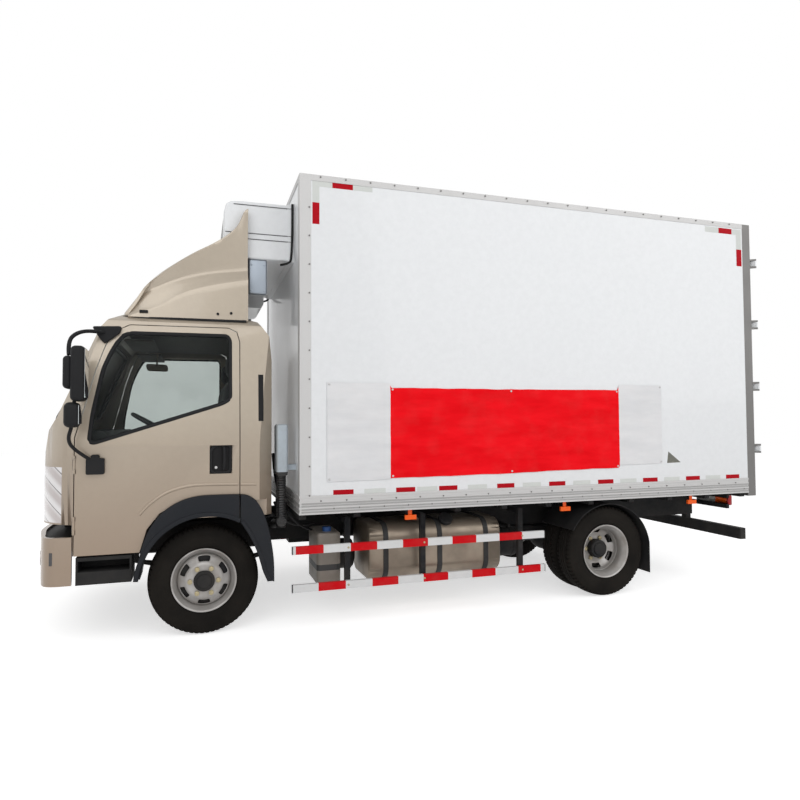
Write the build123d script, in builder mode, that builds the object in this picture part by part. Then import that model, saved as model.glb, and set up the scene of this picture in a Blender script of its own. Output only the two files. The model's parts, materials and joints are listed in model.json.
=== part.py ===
from build123d import *
import math
import os

os.makedirs("parts", exist_ok=True)

# Refrigerated box truck with a tilting two-door cab and twin rear wheels.
# Millimetres. X runs rearwards, Y to the vehicle's right, Z up from the ground.
# Most lengths along the truck are measured from the front axle, rearwards positive.

# Driving sizes of the whole vehicle
front_overhang = 1100
wheelbase = 3280
cargo_front = 650
cargo_length = 4190
cargo_half_width = 1100
cargo_bottom = 830
cargo_height = 2480
wall = 80
hardware_depth = 55
tyre_radius = 380
tyre_width = 200
rim_seat_radius = 203
fit_gap = 0.3
move_gap = 6
overrun = 20
edge_round = 4

cargo_rear = cargo_front + cargo_length
overall_length = front_overhang + cargo_rear + hardware_depth
axle_x = front_overhang - overall_length / 2
rear_axle_x = axle_x + wheelbase
wheel_height = tyre_radius
cargo_top = cargo_bottom + cargo_height


def at(distance):
    """Place along the truck, from a distance behind the front axle."""
    return axle_x + distance


def finish(piece, label):
    """Names a finished piece and writes it."""
    piece.part.label = label
    export_step(piece.part, f"parts/{label}.step")


def placed(shares, x_low, x_high, z_low, z_high):
    """Points of an outline in the long section, from shares of its box."""
    return [
        (at(x_low + x_share * (x_high - x_low)), z_low + z_share * (z_high - z_low))
        for x_share, z_share in shares
    ]


def slab(points, y_low, y_high):
    """A closed outline in the long section, filled from one width to another."""
    with BuildPart() as body:
        with BuildSketch(Plane.XZ.offset(-y_low)):
            with BuildLine():
                Polyline(*points, close=True)
            make_face()
        extrude(amount=y_low - y_high)
    return body.part


def block(x_low, x_high, y_low, y_high, z_low, z_high):
    """A square-edged block between two corners, lengths from the front axle."""
    with BuildPart() as body:
        with BuildSketch(Plane.XY.offset(z_low)):
            with Locations((at((x_low + x_high) / 2), (y_low + y_high) / 2)):
                Rectangle(x_high - x_low, y_high - y_low)
        extrude(amount=z_high - z_low)
    return body.part


def bar(start, end, radius):
    """A round bar between two points."""
    run = Vector(end) - Vector(start)
    with BuildPart() as body:
        with BuildSketch(Plane(origin=start, z_dir=run)):
            Circle(radius)
        extrude(amount=run.length)
    return body.part


# Ladder frame
rail_half_spacing = 375
rail_height = 180
rail_flange = 60
rail_web = 8
rail_bottom = 540
rail_front = -950
rail_rear_inset = 60
cross_tube_radius = 38
cross_member_shares = [0.02, 0.27, 0.4, 0.53, 0.66, 0.82, 0.985]
rail_top = rail_bottom + rail_height
rail_rear = cargo_rear - rail_rear_inset

# Cab tilt pivot, ahead of the front axle
tilt_x = -960
tilt_z = 790
tilt_pin_radius = 14
tilt_bracket_thickness = 12
tilt_boss_radius = 26
tilt_boss_length = 44
tilt_boss_clearance = 1
tilt_arm_y = rail_half_spacing - rail_flange / 2

with BuildPart() as frame:
    with BuildSketch(Plane.YZ.offset(at(rail_front))):
        with Locations((rail_half_spacing - rail_flange / 2, rail_bottom + rail_height / 2)):
            Rectangle(rail_flange, rail_height)
        with Locations(
            (rail_half_spacing - rail_flange / 2 - rail_web, rail_bottom + rail_height / 2)
        ):
            Rectangle(rail_flange, rail_height - 2 * rail_web, mode=Mode.SUBTRACT)
    extrude(amount=rail_rear - rail_front)
    # brackets that hold the cab's tilt pin
    for bracket_side in (-1, 1):
        bracket_y = tilt_arm_y + bracket_side * (
            tilt_boss_length / 2 + tilt_boss_clearance + tilt_bracket_thickness / 2
        )
        with BuildSketch(Plane.XY.offset(rail_top)):
            with Locations((at(tilt_x) + tilt_boss_radius, bracket_y)):
                Rectangle(4 * tilt_boss_radius, tilt_bracket_thickness)
        extrude(amount=tilt_z - rail_top)
        with Locations(
            Plane(origin=(at(tilt_x), bracket_y, tilt_z), z_dir=(0, 1, 0))
        ):
            Cylinder(tilt_boss_radius, tilt_bracket_thickness)
    with Locations(Plane(origin=(at(tilt_x), tilt_arm_y, tilt_z), z_dir=(0, 1, 0))):
        Cylinder(tilt_pin_radius, tilt_boss_length + 2 * tilt_bracket_thickness)
    with Locations(Plane(origin=(at(tilt_x) + tilt_boss_radius, tilt_arm_y, rail_top), z_dir=(0, 0, 1))):
        Box(4 * tilt_boss_radius, rail_flange + 2 * tilt_bracket_thickness, tilt_bracket_thickness)
    mirror(about=Plane.XZ)
    for share in cross_member_shares:
        cross_x = at(rail_front + share * (rail_rear - rail_front))
        with Locations(
            Plane(origin=(cross_x, 0, rail_bottom + rail_height / 2), z_dir=(0, 1, 0))
        ):
            Cylinder(cross_tube_radius, 2 * (rail_half_spacing - rail_web))
finish(frame, "frame")

# Engine with its radiator, one plain block each
engine_front = -480
engine_rear = 420
engine_half_width = 290
engine_bottom = 470
engine_top = 1060
engine_foot_height = 40
radiator_front = -600
radiator_rear = -530
radiator_half_width = 300
radiator_bottom = 600
radiator_top = 1070

with BuildPart() as engine:
    add(block(engine_front, engine_rear, -engine_half_width, engine_half_width, engine_bottom, engine_top))
    fillet(engine.edges().filter_by(Axis.X), radius=engine_foot_height)
    for foot_x in (engine_front + 3 * engine_foot_height, engine_rear - 3 * engine_foot_height):
        add(
            block(
                foot_x - engine_foot_height,
                foot_x + engine_foot_height,
                -rail_half_spacing + rail_web,
                rail_half_spacing - rail_web,
                rail_top - rail_web - 2 * engine_foot_height,
                rail_top - rail_web - engine_foot_height,
            )
        )
    add(
        block(
            radiator_front,
            radiator_rear,
            -radiator_half_width,
            radiator_half_width,
            radiator_bottom,
            radiator_top,
        )
    )
    add(
        block(
            radiator_front,
            radiator_rear,
            -rail_half_spacing + rail_web,
            rail_half_spacing - rail_web,
            rail_bottom + 2 * rail_web,
            radiator_bottom + engine_foot_height,
        )
    )
finish(engine, "engine")

# Cab: the box that its outlines are shares of
cab_front = -1045
cab_rear = 470
cab_low = 620
cab_high = 2290
cab_half_width = 1000
cab_wall = 50
cab_belt_share = 0.43
cab_floor_bottom = 825
cab_floor_thickness = 40
cab_side_shares = [
    (0.0, -0.2),
    (0.0, 0.293),
    (0.006, 0.407),
    (0.026, 0.497),
    (0.063, 0.545),
    (0.234, 0.916),
    (0.267, 0.955),
    (0.333, 0.983),
    (0.558, 1.0),
    (0.822, 0.997),
    (0.934, 0.97),
    (0.987, 0.904),
    (1.0, 0.796),
    (1.0, -0.2),
]
# half of the front view: width share of the cab's half width, height share
cab_front_view_shares = [
    (1.0, -0.2),
    (1.0, cab_belt_share),
    (0.965, 0.68),
    (0.925, 0.912),
    (0.9, 0.95),
    (0.84, 0.98),
    (0.5, 1.0),
]
plan_nose_share = 0.5
plan_shoulder_share = 0.86
plan_shoulder_set_back = 48
plan_side_set_back = 215
plan_rear_corner = 95
screen_lean = 0.42
cab_length = cab_rear - cab_front
cab_height = cab_high - cab_low
cab_belt = cab_low + 0.54 * cab_height


def plan_outline(rear):
    """Half plan of the cab's nose, from the middle to the side, then to the rear."""
    nose = at(cab_front)
    return [
        (nose, cab_half_width * plan_nose_share),
        (nose + plan_shoulder_set_back, cab_half_width * plan_shoulder_share),
        (nose + plan_side_set_back, cab_half_width),
        (at(rear), cab_half_width),
    ]


def cab_form(inset):
    """The cab's outer form, drawn in by a wall thickness on every side."""
    side = placed(cab_side_shares, cab_front, cab_rear, cab_low, cab_high)
    front_half = [
        (y_share * cab_half_width, cab_low + z_share * cab_height)
        for y_share, z_share in cab_front_view_shares
    ]
    nose, shoulder, flank, tail = plan_outline(cab_rear + cab_length)
    with BuildPart() as form:
        with BuildSketch(Plane.XZ):
            with BuildLine():
                Polyline(*side, close=True)
            make_face()
            offset(amount=-inset)
        extrude(amount=2 * cab_half_width, both=True)
        with BuildSketch(Plane.YZ.offset(at(cab_front - cab_length))):
            with BuildLine():
                Polyline(*front_half)
                Line(front_half[-1], (-front_half[-1][0], front_half[-1][1]))
                Polyline(*[(-y, z) for y, z in reversed(front_half)])
                Line((-front_half[0][0], front_half[0][1]), front_half[0])
            make_face()
            offset(amount=-inset)
        extrude(amount=3 * cab_length, mode=Mode.INTERSECT)
        with BuildSketch(Plane.XY.offset(0)):
            with Locations((at((cab_front + cab_rear) / 2 - cab_length / 2), 0)):
                Rectangle(2 * cab_length, 2 * cab_half_width)
            rear_corners = vertices().group_by(Axis.X)[-1]
            chamfer(rear_corners, length=plan_rear_corner)
            offset(amount=-inset, kind=Kind.INTERSECTION)
        extrude(amount=2 * cab_high, mode=Mode.INTERSECT)
    with BuildPart() as nose_form:
        for height, low_dir in ((cab_belt, (0, 0, -1)), (cab_belt, (screen_lean, 0, 1))):
            with BuildSketch(Plane.XY.offset(height)):
                with BuildLine():
                    Line((nose[0], -nose[1]), nose)
                    ThreePointArc(nose, shoulder, flank)
                    Line(flank, tail)
                    Line(tail, (tail[0], -tail[1]))
                    Line((tail[0], -tail[1]), (flank[0], -flank[1]))
                    ThreePointArc(
                        (flank[0], -flank[1]), (shoulder[0], -shoulder[1]), (nose[0], -nose[1])
                    )
                make_face()
                offset(amount=-inset, kind=Kind.INTERSECTION)
            extrude(amount=cab_high, dir=low_dir)
    return form.part & nose_form.part


shell_skin = cab_form(0) - cab_form(cab_wall)
glass_skin = cab_form(edge_round) - cab_form(2 * edge_round)

# Cab openings, as shares of the same box
door_shares = [
    (0.147, 0.0),
    (0.147, 0.467),
    (0.183, 0.587),
    (0.226, 0.743),
    (0.261, 0.838),
    (0.294, 0.898),
    (0.36, 0.931),
    (0.795, 0.933),
    (0.832, 0.916),
    (0.845, 0.874),
    (0.845, 0.217),
    (0.681, 0.217),
    (0.578, 0.197),
    (0.492, 0.152),
    (0.441, 0.09),
    (0.412, 0.0),
]
window_shares = [
    (0.203, 0.444),
    (0.217, 0.563),
    (0.254, 0.743),
    (0.29, 0.826),
    (0.323, 0.88),
    (0.36, 0.897),
    (0.782, 0.899),
    (0.801, 0.88),
    (0.802, 0.626),
    (0.769, 0.606),
]
# hinge line of the doors, on the skin at the door's front edge
door_hinge_x = -825
door_hinge_radius = 9
door_hinge_height = 60
door_hinge_shares = [0.12, 0.36]
# lower edge of the cab's side skin, from the nose to the back
sill_shares = [
    (-0.1, -0.4),
    (-0.1, 0.123),
    (0.142, 0.123),
    (0.142, 0.0),
    (0.414, 0.0),
    (0.443, 0.088),
    (0.493, 0.15),
    (0.579, 0.195),
    (0.681, 0.213),
    (0.85, 0.213),
    (0.85, 0.192),
    (1.1, 0.192),
    (1.1, -0.4),
]
arch_centre_x = 20
arch_centre_z = 395
arch_inner_radius = 450
arch_panel_radius = 475
# outer line of the wheel flare on the cab, then on the frame
cab_flare_shares = [
    (0.409, -0.114),
    (0.418, -0.008),
    (0.448, 0.084),
    (0.498, 0.144),
    (0.581, 0.189),
    (0.681, 0.207),
    (0.845, 0.207),
]
flare_split_x = 235
flare_inner_y = 944.3
flare_outer_y = 1030
arch_panel_y = 895
hump_front = -660
hump_half_width = 370
hump_top = 1120
hump_wall = 20
screen_bottom_share = 0.545
screen_top_share = 0.905
screen_low_half_share = 0.905
screen_high_half_share = 0.835
screen_corner = 70
front_panel_rear = -838
front_panel_top = 1475
lamp_pocket_rear = -905
lamp_pocket_inner = 740
lamp_pocket_low = 835
lamp_pocket_high = 1205
grille_half_width = 560
grille_low = 985
grille_high = 1215
grille_slots = 4

door_outline = placed(door_shares, cab_front, cab_rear, cab_low, cab_high)
window_outline = placed(window_shares, cab_front, cab_rear, cab_low, cab_high)
sill_outline = placed(sill_shares, cab_front, cab_rear, cab_low, cab_high)
floor_y = cab_half_width - cab_wall - move_gap


def both_sides(part):
    """A solid of the right side with its mirror image."""
    return part + mirror(part, about=Plane.XZ)


def grown(points, amount, y_low, y_high):
    """A slab whose outline is grown or shrunk by an amount."""
    with BuildPart() as body:
        with BuildSketch(Plane.XZ.offset(-y_low)):
            with BuildLine():
                Polyline(*points, close=True)
            make_face()
            offset(amount=amount, kind=Kind.INTERSECTION)
        extrude(amount=y_low - y_high)
    return body.part


def screen_prism(amount):
    """Windscreen opening seen from the front, run through the cab's front wall."""
    low = cab_low + screen_bottom_share * cab_height
    high = cab_low + screen_top_share * cab_height
    half_low = cab_half_width * screen_low_half_share
    half_high = cab_half_width * screen_high_half_share
    with BuildPart() as body:
        with BuildSketch(Plane.YZ.offset(at(cab_front - overrun))):
            with BuildLine():
                Polyline(
                    (-half_low, low), (half_low, low), (half_high, high), (-half_high, high), close=True
                )
            make_face()
            fillet(vertices(), radius=screen_corner)
            offset(amount=amount)
        extrude(amount=cab_length / 2 - cab_wall)
    return body.part


cab_floor = cab_form(cab_wall / 2) & block(
    cab_front, cab_rear, -floor_y, floor_y, cab_floor_bottom, cab_floor_bottom + cab_floor_thickness
)
under_floor = block(
    cab_front - overrun, cab_rear + overrun, -floor_y, floor_y, cab_low - cab_height, cab_floor_bottom
)
side_below = both_sides(slab(sill_outline, floor_y, cab_half_width + overrun))
front_panel_zone = block(
    cab_front - overrun,
    front_panel_rear,
    -cab_half_width - overrun,
    cab_half_width + overrun,
    cab_floor_bottom,
    front_panel_top,
)
lamp_zone = both_sides(
    block(
        cab_front - overrun,
        lamp_pocket_rear,
        lamp_pocket_inner,
        cab_half_width + overrun,
        lamp_pocket_low,
        lamp_pocket_high,
    )
)
arch_void = bar(
    (at(arch_centre_x), arch_panel_y - overrun, arch_centre_z),
    (at(arch_centre_x), flare_outer_y + overrun, arch_centre_z),
    arch_panel_radius,
)
flare_line = placed(cab_flare_shares, cab_front, cab_rear, cab_low, cab_high)
cab_arch_outline = flare_line + [(at(flare_split_x), flare_line[0][1])]
arch_panel = slab(cab_arch_outline, arch_panel_y, floor_y) - arch_void
hump_outer = block(
    hump_front,
    cab_rear - edge_round,
    -hump_half_width - hump_wall,
    hump_half_width + hump_wall,
    cab_floor_bottom,
    hump_top + hump_wall,
)
hump_inner = block(
    hump_front + hump_wall,
    cab_rear + overrun,
    -hump_half_width,
    hump_half_width,
    cab_floor_bottom - overrun,
    hump_top,
)

def hinge_barrels(radius, gap, on_door):
    """Barrels of the right door's hinges: the middle one is the door's, the others the cab's."""
    with BuildPart() as body:
        for share in door_hinge_shares:
            middle = cab_low + share * cab_height
            if on_door:
                stack = [(middle, door_hinge_height - 2 * gap)]
            else:
                step = (door_hinge_height + door_hinge_height / 2) / 2
                stack = [
                    (middle - step, door_hinge_height / 2 - gap),
                    (middle + step, door_hinge_height / 2 - gap),
                ]
            for height, length in stack:
                with Locations((at(door_hinge_x), cab_half_width, height)):
                    Cylinder(radius, length)
    return body.part


door_cut = both_sides(
    grown(door_outline, move_gap, cab_half_width / 2, cab_half_width + overrun)
    - cab_form(cab_wall + move_gap)
)
door_skin = shell_skin & slab(door_outline, cab_half_width / 2, cab_half_width + overrun)
front_skin = (shell_skin & front_panel_zone) - side_below

with BuildPart() as cab_shell:
    add(shell_skin)
    add(under_floor, mode=Mode.SUBTRACT)
    add(side_below, mode=Mode.SUBTRACT)
    add(front_panel_zone, mode=Mode.SUBTRACT)
    add(cab_floor - front_skin)
    add(hump_outer)
    add(hump_inner, mode=Mode.SUBTRACT)
    add(door_cut, mode=Mode.SUBTRACT)
    add(screen_prism(0), mode=Mode.SUBTRACT)
    add(both_sides(arch_panel))
    add(both_sides(hinge_barrels(door_hinge_radius + move_gap / 2, -fit_gap, True)), mode=Mode.SUBTRACT)
    add(both_sides(hinge_barrels(door_hinge_radius, fit_gap, False)))
    # arms that carry the tilt bosses
    for arm_side in (-1, 1):
        with Locations(
            Plane(origin=(at(tilt_x), arm_side * tilt_arm_y, tilt_z), z_dir=(0, 1, 0))
        ):
            Cylinder(tilt_boss_radius, tilt_boss_length)
            Cylinder(tilt_pin_radius + fit_gap, tilt_boss_length, mode=Mode.SUBTRACT)
        with BuildSketch(Plane.XY.offset(tilt_z + tilt_pin_radius + edge_round)):
            with Locations((at(tilt_x), arm_side * tilt_arm_y)):
                Rectangle(2 * tilt_boss_radius, tilt_boss_length)
        extrude(amount=cab_floor_bottom + edge_round - tilt_z - tilt_pin_radius - edge_round)
finish(cab_shell, "cab_shell")

slot_pitch = (grille_high - grille_low) / (2 * grille_slots + 1)

with BuildPart() as cab_front_panel:
    add(front_skin)
    add(lamp_zone, mode=Mode.SUBTRACT)
    add(screen_prism(0), mode=Mode.SUBTRACT)
    for slot in range(grille_slots):
        slot_low = grille_low + (2 * slot + 1) * slot_pitch
        add(
            block(
                cab_front - overrun,
                cab_front + cab_wall + plan_shoulder_set_back,
                -grille_half_width,
                grille_half_width,
                slot_low,
                slot_low + slot_pitch,
            ),
            mode=Mode.SUBTRACT,
        )
finish(cab_front_panel, "cab_front_panel")

right_lamp = front_skin & block(
    cab_front - overrun,
    lamp_pocket_rear - fit_gap,
    lamp_pocket_inner + fit_gap,
    cab_half_width + overrun,
    lamp_pocket_low + fit_gap,
    lamp_pocket_high - fit_gap,
)

with BuildPart() as head_lamps:
    add(right_lamp)
    mirror(about=Plane.XZ)
finish(head_lamps, "head_lamps")

with BuildPart() as windscreen:
    add(glass_skin)
    add(screen_prism(-fit_gap), mode=Mode.INTERSECT)
finish(windscreen, "windscreen")

# Doors, cut out of the same skin
handle_front = 31
handle_length = 155
handle_low = 1135
handle_height = 200
handle_depth = 22
handle_bar_height = 45
window_cut = slab(window_outline, cab_half_width / 2, cab_half_width + overrun)
handle_pocket = block(
    handle_front,
    handle_front + handle_length,
    cab_half_width - handle_depth,
    cab_half_width + overrun,
    handle_low,
    handle_low + handle_height,
)
right_door = (
    door_skin
    - window_cut
    - handle_pocket
    - hinge_barrels(door_hinge_radius + move_gap / 2, -fit_gap, False)
    + hinge_barrels(door_hinge_radius, fit_gap, True)
)
right_pane = glass_skin & grown(
    window_outline, -fit_gap, cab_half_width / 2, cab_half_width + overrun
)

# Mirror on each door: two brackets, an arm and two heads
mirror_upper = (-650, 2080)
mirror_lower = (-700, 1215)
mirror_x = -755
mirror_head_x = -762
mirror_in_y = 1110
mirror_out_y = 1290
mirror_head_low = 1640
mirror_head_high = 2010
mirror_small_low = 1480
mirror_small_high = 1625
mirror_depth = 70
mirror_arm_radius = 12
mirror_arm_y = 1150
mirror_foot_length = 110
mirror_foot_height = 55
mirror_top_skin_y = 938
mirror_round = 20


def mirror_and_handle():
    """Right door's mirror with its brackets, and the pull handle in its pocket."""
    with BuildPart() as body:
        add(
            block(
                handle_front + fit_gap,
                handle_front + handle_length - fit_gap,
                cab_half_width - handle_depth + fit_gap,
                cab_half_width - handle_depth / 2,
                handle_low + fit_gap,
                handle_low + handle_height - fit_gap,
            )
        )
        add(
            block(
                handle_front + handle_depth,
                handle_front + handle_length - handle_depth,
                cab_half_width - handle_depth / 2,
                cab_half_width,
                handle_low + (handle_height - handle_bar_height) / 2,
                handle_low + (handle_height + handle_bar_height) / 2,
            )
        )
        for foot_x, foot_z, skin_y in (
            (mirror_upper[0], mirror_upper[1], mirror_top_skin_y),
            (mirror_lower[0], mirror_lower[1], cab_half_width),
        ):
            add(
                block(
                    foot_x - mirror_foot_length / 2,
                    foot_x + mirror_foot_length / 2,
                    skin_y,
                    skin_y + 2 * mirror_arm_radius,
                    foot_z - mirror_foot_height / 2,
                    foot_z + mirror_foot_height / 2,
                )
            )
        add(
            bar(
                (at(mirror_upper[0]), mirror_top_skin_y + mirror_arm_radius, mirror_upper[1]),
                (at(mirror_x), mirror_arm_y, mirror_upper[1] + mirror_arm_radius),
                mirror_arm_radius,
            )
        )
        add(
            bar(
                (at(mirror_lower[0]), cab_half_width + mirror_arm_radius, mirror_lower[1]),
                (at(mirror_x), mirror_arm_y, mirror_small_low),
                mirror_arm_radius,
            )
        )
        add(
            bar(
                (at(mirror_x), mirror_arm_y, mirror_small_low - mirror_arm_radius),
                (at(mirror_x), mirror_arm_y, mirror_upper[1] + 2 * mirror_arm_radius),
                mirror_arm_radius,
            )
        )
    with BuildPart() as heads:
        for low, high in ((mirror_head_low, mirror_head_high), (mirror_small_low, mirror_small_high)):
            add(
                block(
                    mirror_head_x - mirror_depth / 2,
                    mirror_head_x + mirror_depth / 2,
                    mirror_in_y,
                    mirror_out_y,
                    low,
                    high,
                )
            )
        fillet(heads.edges().filter_by(Axis.X), radius=2 * mirror_round)
        fillet(heads.faces().sort_by(Axis.X)[0:2].edges(), radius=mirror_round)
    return body.part + heads.part


right_fittings = mirror_and_handle()
for side_name, flip in (("left", True), ("right", False)):
    for piece_name, piece in (
        ("door", right_door),
        ("door_glass", right_pane),
        ("door_fittings", right_fittings),
    ):
        with BuildPart() as side_piece:
            add(mirror(piece, about=Plane.XZ) if flip else piece)
        finish(side_piece, f"{piece_name}_{side_name}")

# Steps under the doors
step_front = -812
step_rear = -470
step_low = 425
step_high = 606
step_inner_y = 740
step_outer_y = 985
step_tread_height = 85
step_tread_depth = 170
step_plate = 12

with BuildPart() as cab_steps:
    add(block(step_front, step_rear, step_inner_y, step_outer_y, step_low, step_high))
    add(
        block(
            step_front + step_plate,
            step_rear - step_plate,
            step_outer_y - step_tread_depth,
            step_outer_y + overrun,
            step_low + step_tread_height,
            step_high - 2 * step_plate,
        ),
        mode=Mode.SUBTRACT,
    )
    add(
        block(
            step_front,
            step_rear,
            step_inner_y,
            step_inner_y + 2 * step_plate,
            step_high,
            cab_floor_bottom,
        )
    )
    mirror(about=Plane.XZ)
finish(cab_steps, "cab_steps")

# Wheel flares, the front part on the cab and the rear part on the frame
rear_flare_shares = [
    (0.001, 0.962),
    (0.3, 0.955),
    (0.62, 0.86),
    (0.86, 0.58),
    (0.97, 0.3),
    (1.0, 0.0),
]
rear_flare_end = 478
rear_flare_low = 360
rear_flare_inner_y = 700
flap_thickness = 14
rear_flare_high = cab_low + sill_shares[-2][1] * cab_height - 2 * move_gap
rear_flare_line = placed(
    rear_flare_shares, flare_split_x + move_gap, rear_flare_end, rear_flare_low, rear_flare_high
)
flare_void = bar(
    (at(arch_centre_x), arch_panel_y - 2 * cab_wall, arch_centre_z),
    (at(arch_centre_x), flare_outer_y + overrun, arch_centre_z),
    arch_inner_radius,
)

with BuildPart() as cab_flares:
    add(slab(cab_arch_outline, flare_inner_y, flare_outer_y) - flare_void)
    mirror(about=Plane.XZ)
finish(cab_flares, "cab_flares")

rear_arch_outline = rear_flare_line + [(at(flare_split_x + move_gap), rear_flare_low)]
with BuildPart() as frame_flares:
    add(slab(rear_arch_outline, flare_inner_y, flare_outer_y))
    add(
        slab(rear_arch_outline, rear_flare_inner_y, flare_inner_y)
        & block(
            flare_split_x,
            rear_flare_end,
            rear_flare_inner_y,
            flare_inner_y,
            rear_flare_low,
            cab_floor_bottom - 2 * move_gap,
        )
    )
    add(
        bar(
            (at(arch_centre_x), rear_flare_inner_y - overrun, arch_centre_z),
            (at(arch_centre_x), flare_outer_y + overrun, arch_centre_z),
            arch_inner_radius,
        ),
        mode=Mode.SUBTRACT,
    )
    add(
        block(
            rear_flare_end - 5 * flap_thickness,
            rear_flare_end - 3 * flap_thickness,
            rail_half_spacing,
            rear_flare_inner_y,
            rail_bottom + 2 * rail_web,
            rail_top - 2 * rail_web,
        )
    )
    mirror(about=Plane.XZ)
finish(frame_flares, "frame_flares")

# Inside the cab: dashboard with column and steering wheel
dash_front_gap = 10
dash_rear = -600
dash_low = 1150
dash_high = 1440
dash_half_width = 930
dash_wall = 60
column_bottom = (-684, 866)
wheel_centre = (-340, 1460)
driver_y = -450
steering_ring_radius = 205
steering_first_spoke = 90
steering_tube_radius = 14
column_radius = 22
dash_outline = [
    (at(dash_rear - 6 * dash_wall), dash_low),
    (at(dash_rear - dash_wall), dash_low),
    (at(dash_rear), dash_low + 2 * dash_wall),
    (at(dash_rear), dash_high - dash_wall),
    (at(dash_rear - dash_wall), dash_high),
    (at(dash_rear - 6 * dash_wall), dash_high),
]
steering_axis = Vector(at(wheel_centre[0]), driver_y, wheel_centre[1]) - Vector(
    at(column_bottom[0]), driver_y, column_bottom[1]
)
with BuildPart() as dashboard:
    add(
        slab(dash_outline, -dash_half_width, dash_half_width)
        & cab_form(cab_wall + dash_front_gap)
    )
    add(
        block(
            hump_front - 2 * dash_wall,
            hump_front - fit_gap,
            -hump_half_width / 2,
            hump_half_width / 2,
            cab_floor_bottom + cab_floor_thickness,
            dash_low + dash_wall,
        )
    )
finish(dashboard, "dashboard")

with BuildPart() as steering_wheel:
    with BuildSketch(
        Plane(
            origin=(at(wheel_centre[0]), driver_y, wheel_centre[1]),
            x_dir=(0, 1, 0),
            z_dir=steering_axis,
        )
    ):
        Circle(steering_tube_radius * 3)
        for turn in (0, 120, 240):
            with Locations(Location((0, 0), steering_first_spoke + turn)):
                with Locations((steering_ring_radius / 2, 0)):
                    Rectangle(steering_ring_radius, 2 * steering_tube_radius)
    extrude(amount=steering_tube_radius)
    with BuildSketch(
        Plane(
            origin=Vector(at(wheel_centre[0]), driver_y, wheel_centre[1])
            + Vector(0, steering_ring_radius, 0),
            x_dir=steering_axis,
            z_dir=(steering_axis.Z, 0, -steering_axis.X),
        )
    ):
        Circle(steering_tube_radius)
    revolve(
        axis=Axis((at(wheel_centre[0]), driver_y, wheel_centre[1]), tuple(steering_axis)),
        revolution_arc=360,
    )
    add(
        bar(
            (at(column_bottom[0]), driver_y, column_bottom[1]),
            (at(wheel_centre[0]), driver_y, wheel_centre[1]),
            column_radius,
        )
    )
    add(slab(dash_outline, -dash_half_width, dash_half_width), mode=Mode.SUBTRACT)
    add(
        block(
            cab_front,
            hump_front,
            -dash_half_width,
            dash_half_width,
            cab_floor_bottom,
            cab_floor_bottom + cab_floor_thickness,
        ),
        mode=Mode.SUBTRACT,
    )
finish(steering_wheel, "steering_wheel")

# Two seats and the bench between, plain forms
seat_front = -330
seat_length = 500
seat_base_high = 1250
seat_low = 1090
seat_width = 500
seat_back_depth = 130
seat_back_high = 1830
seat_head_high = 2030
seat_head_width = 260
seat_round = 40
centre_seat_width = 330
seat_box_inset = 40

with BuildPart() as seats:
    for seat_y, this_width in (
        (driver_y, seat_width),
        (-driver_y, seat_width),
        (0, centre_seat_width),
    ):
        add(
            block(
                seat_front,
                seat_front + seat_length,
                seat_y - this_width / 2,
                seat_y + this_width / 2,
                max(seat_low, hump_top + hump_wall + fit_gap),
                seat_base_high,
            )
        )
        add(
            block(
                seat_front + seat_length - seat_round,
                seat_front + seat_length + seat_back_depth,
                seat_y - this_width / 2,
                seat_y + this_width / 2,
                max(seat_low, hump_top + hump_wall + fit_gap),
                seat_back_high,
            )
        )
    fillet(seats.edges().filter_by(Axis.Y).group_by(Axis.Z)[-1], radius=seat_round)
    for seat_y in (driver_y, -driver_y):
        add(
            block(
                seat_front + seat_length,
                seat_front + seat_length + seat_back_depth - seat_round / 2,
                seat_y - seat_head_width / 2,
                seat_y + seat_head_width / 2,
                seat_back_high - seat_round,
                seat_head_high,
            )
        )
finish(seats, "seats")

with BuildPart() as seat_boxes:
    for seat_y in (driver_y, -driver_y):
        inner_y = max(abs(seat_y) - seat_width / 2 + seat_box_inset, hump_half_width + hump_wall)
        outer_y = abs(seat_y) + seat_width / 2 - seat_box_inset
        seat_side = 1 if seat_y > 0 else -1
        add(
            block(
                seat_front + seat_box_inset,
                seat_front + seat_length,
                min(seat_side * inner_y, seat_side * outer_y),
                max(seat_side * inner_y, seat_side * outer_y),
                cab_floor_bottom + cab_floor_thickness,
                hump_top + hump_wall,
            )
        )
finish(seat_boxes, "seat_boxes")

# Roof deflector, open at the back, with a wing beside the cooling unit
deflector_front = -623
deflector_rear = 306
deflector_low = 2240
deflector_high = 3117
deflector_half_width = 845
deflector_skirt_width = 872
deflector_wall = 14
deflector_shares = [
    (0.0, 0.03),
    (0.0, 0.0),
    (1.0, 0.0),
    (1.0, 1.0),
    (0.974, 0.994),
    (0.943, 0.896),
    (0.842, 0.763),
    (0.741, 0.725),
    (0.477, 0.617),
    (0.258, 0.41),
    (0.089, 0.182),
]
deflector_ledge_shares = [
    (0.0, 0.03),
    (0.0, 0.0),
    (1.0, 0.0),
    (1.0, 0.29),
    (0.55, 0.27),
    (0.3, 0.2),
    (0.12, 0.1),
]
deflector_top_cut = 95

deflector_outline = placed(
    deflector_shares, deflector_front, deflector_rear, deflector_low, deflector_high
)
ledge_outline = placed(
    deflector_ledge_shares, deflector_front, deflector_rear, deflector_low, deflector_high
)
deflector_opening = block(
    deflector_top_cut,
    deflector_rear + overrun,
    -deflector_half_width + deflector_wall,
    deflector_half_width - deflector_wall,
    deflector_low - overrun,
    deflector_high + overrun,
)

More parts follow.
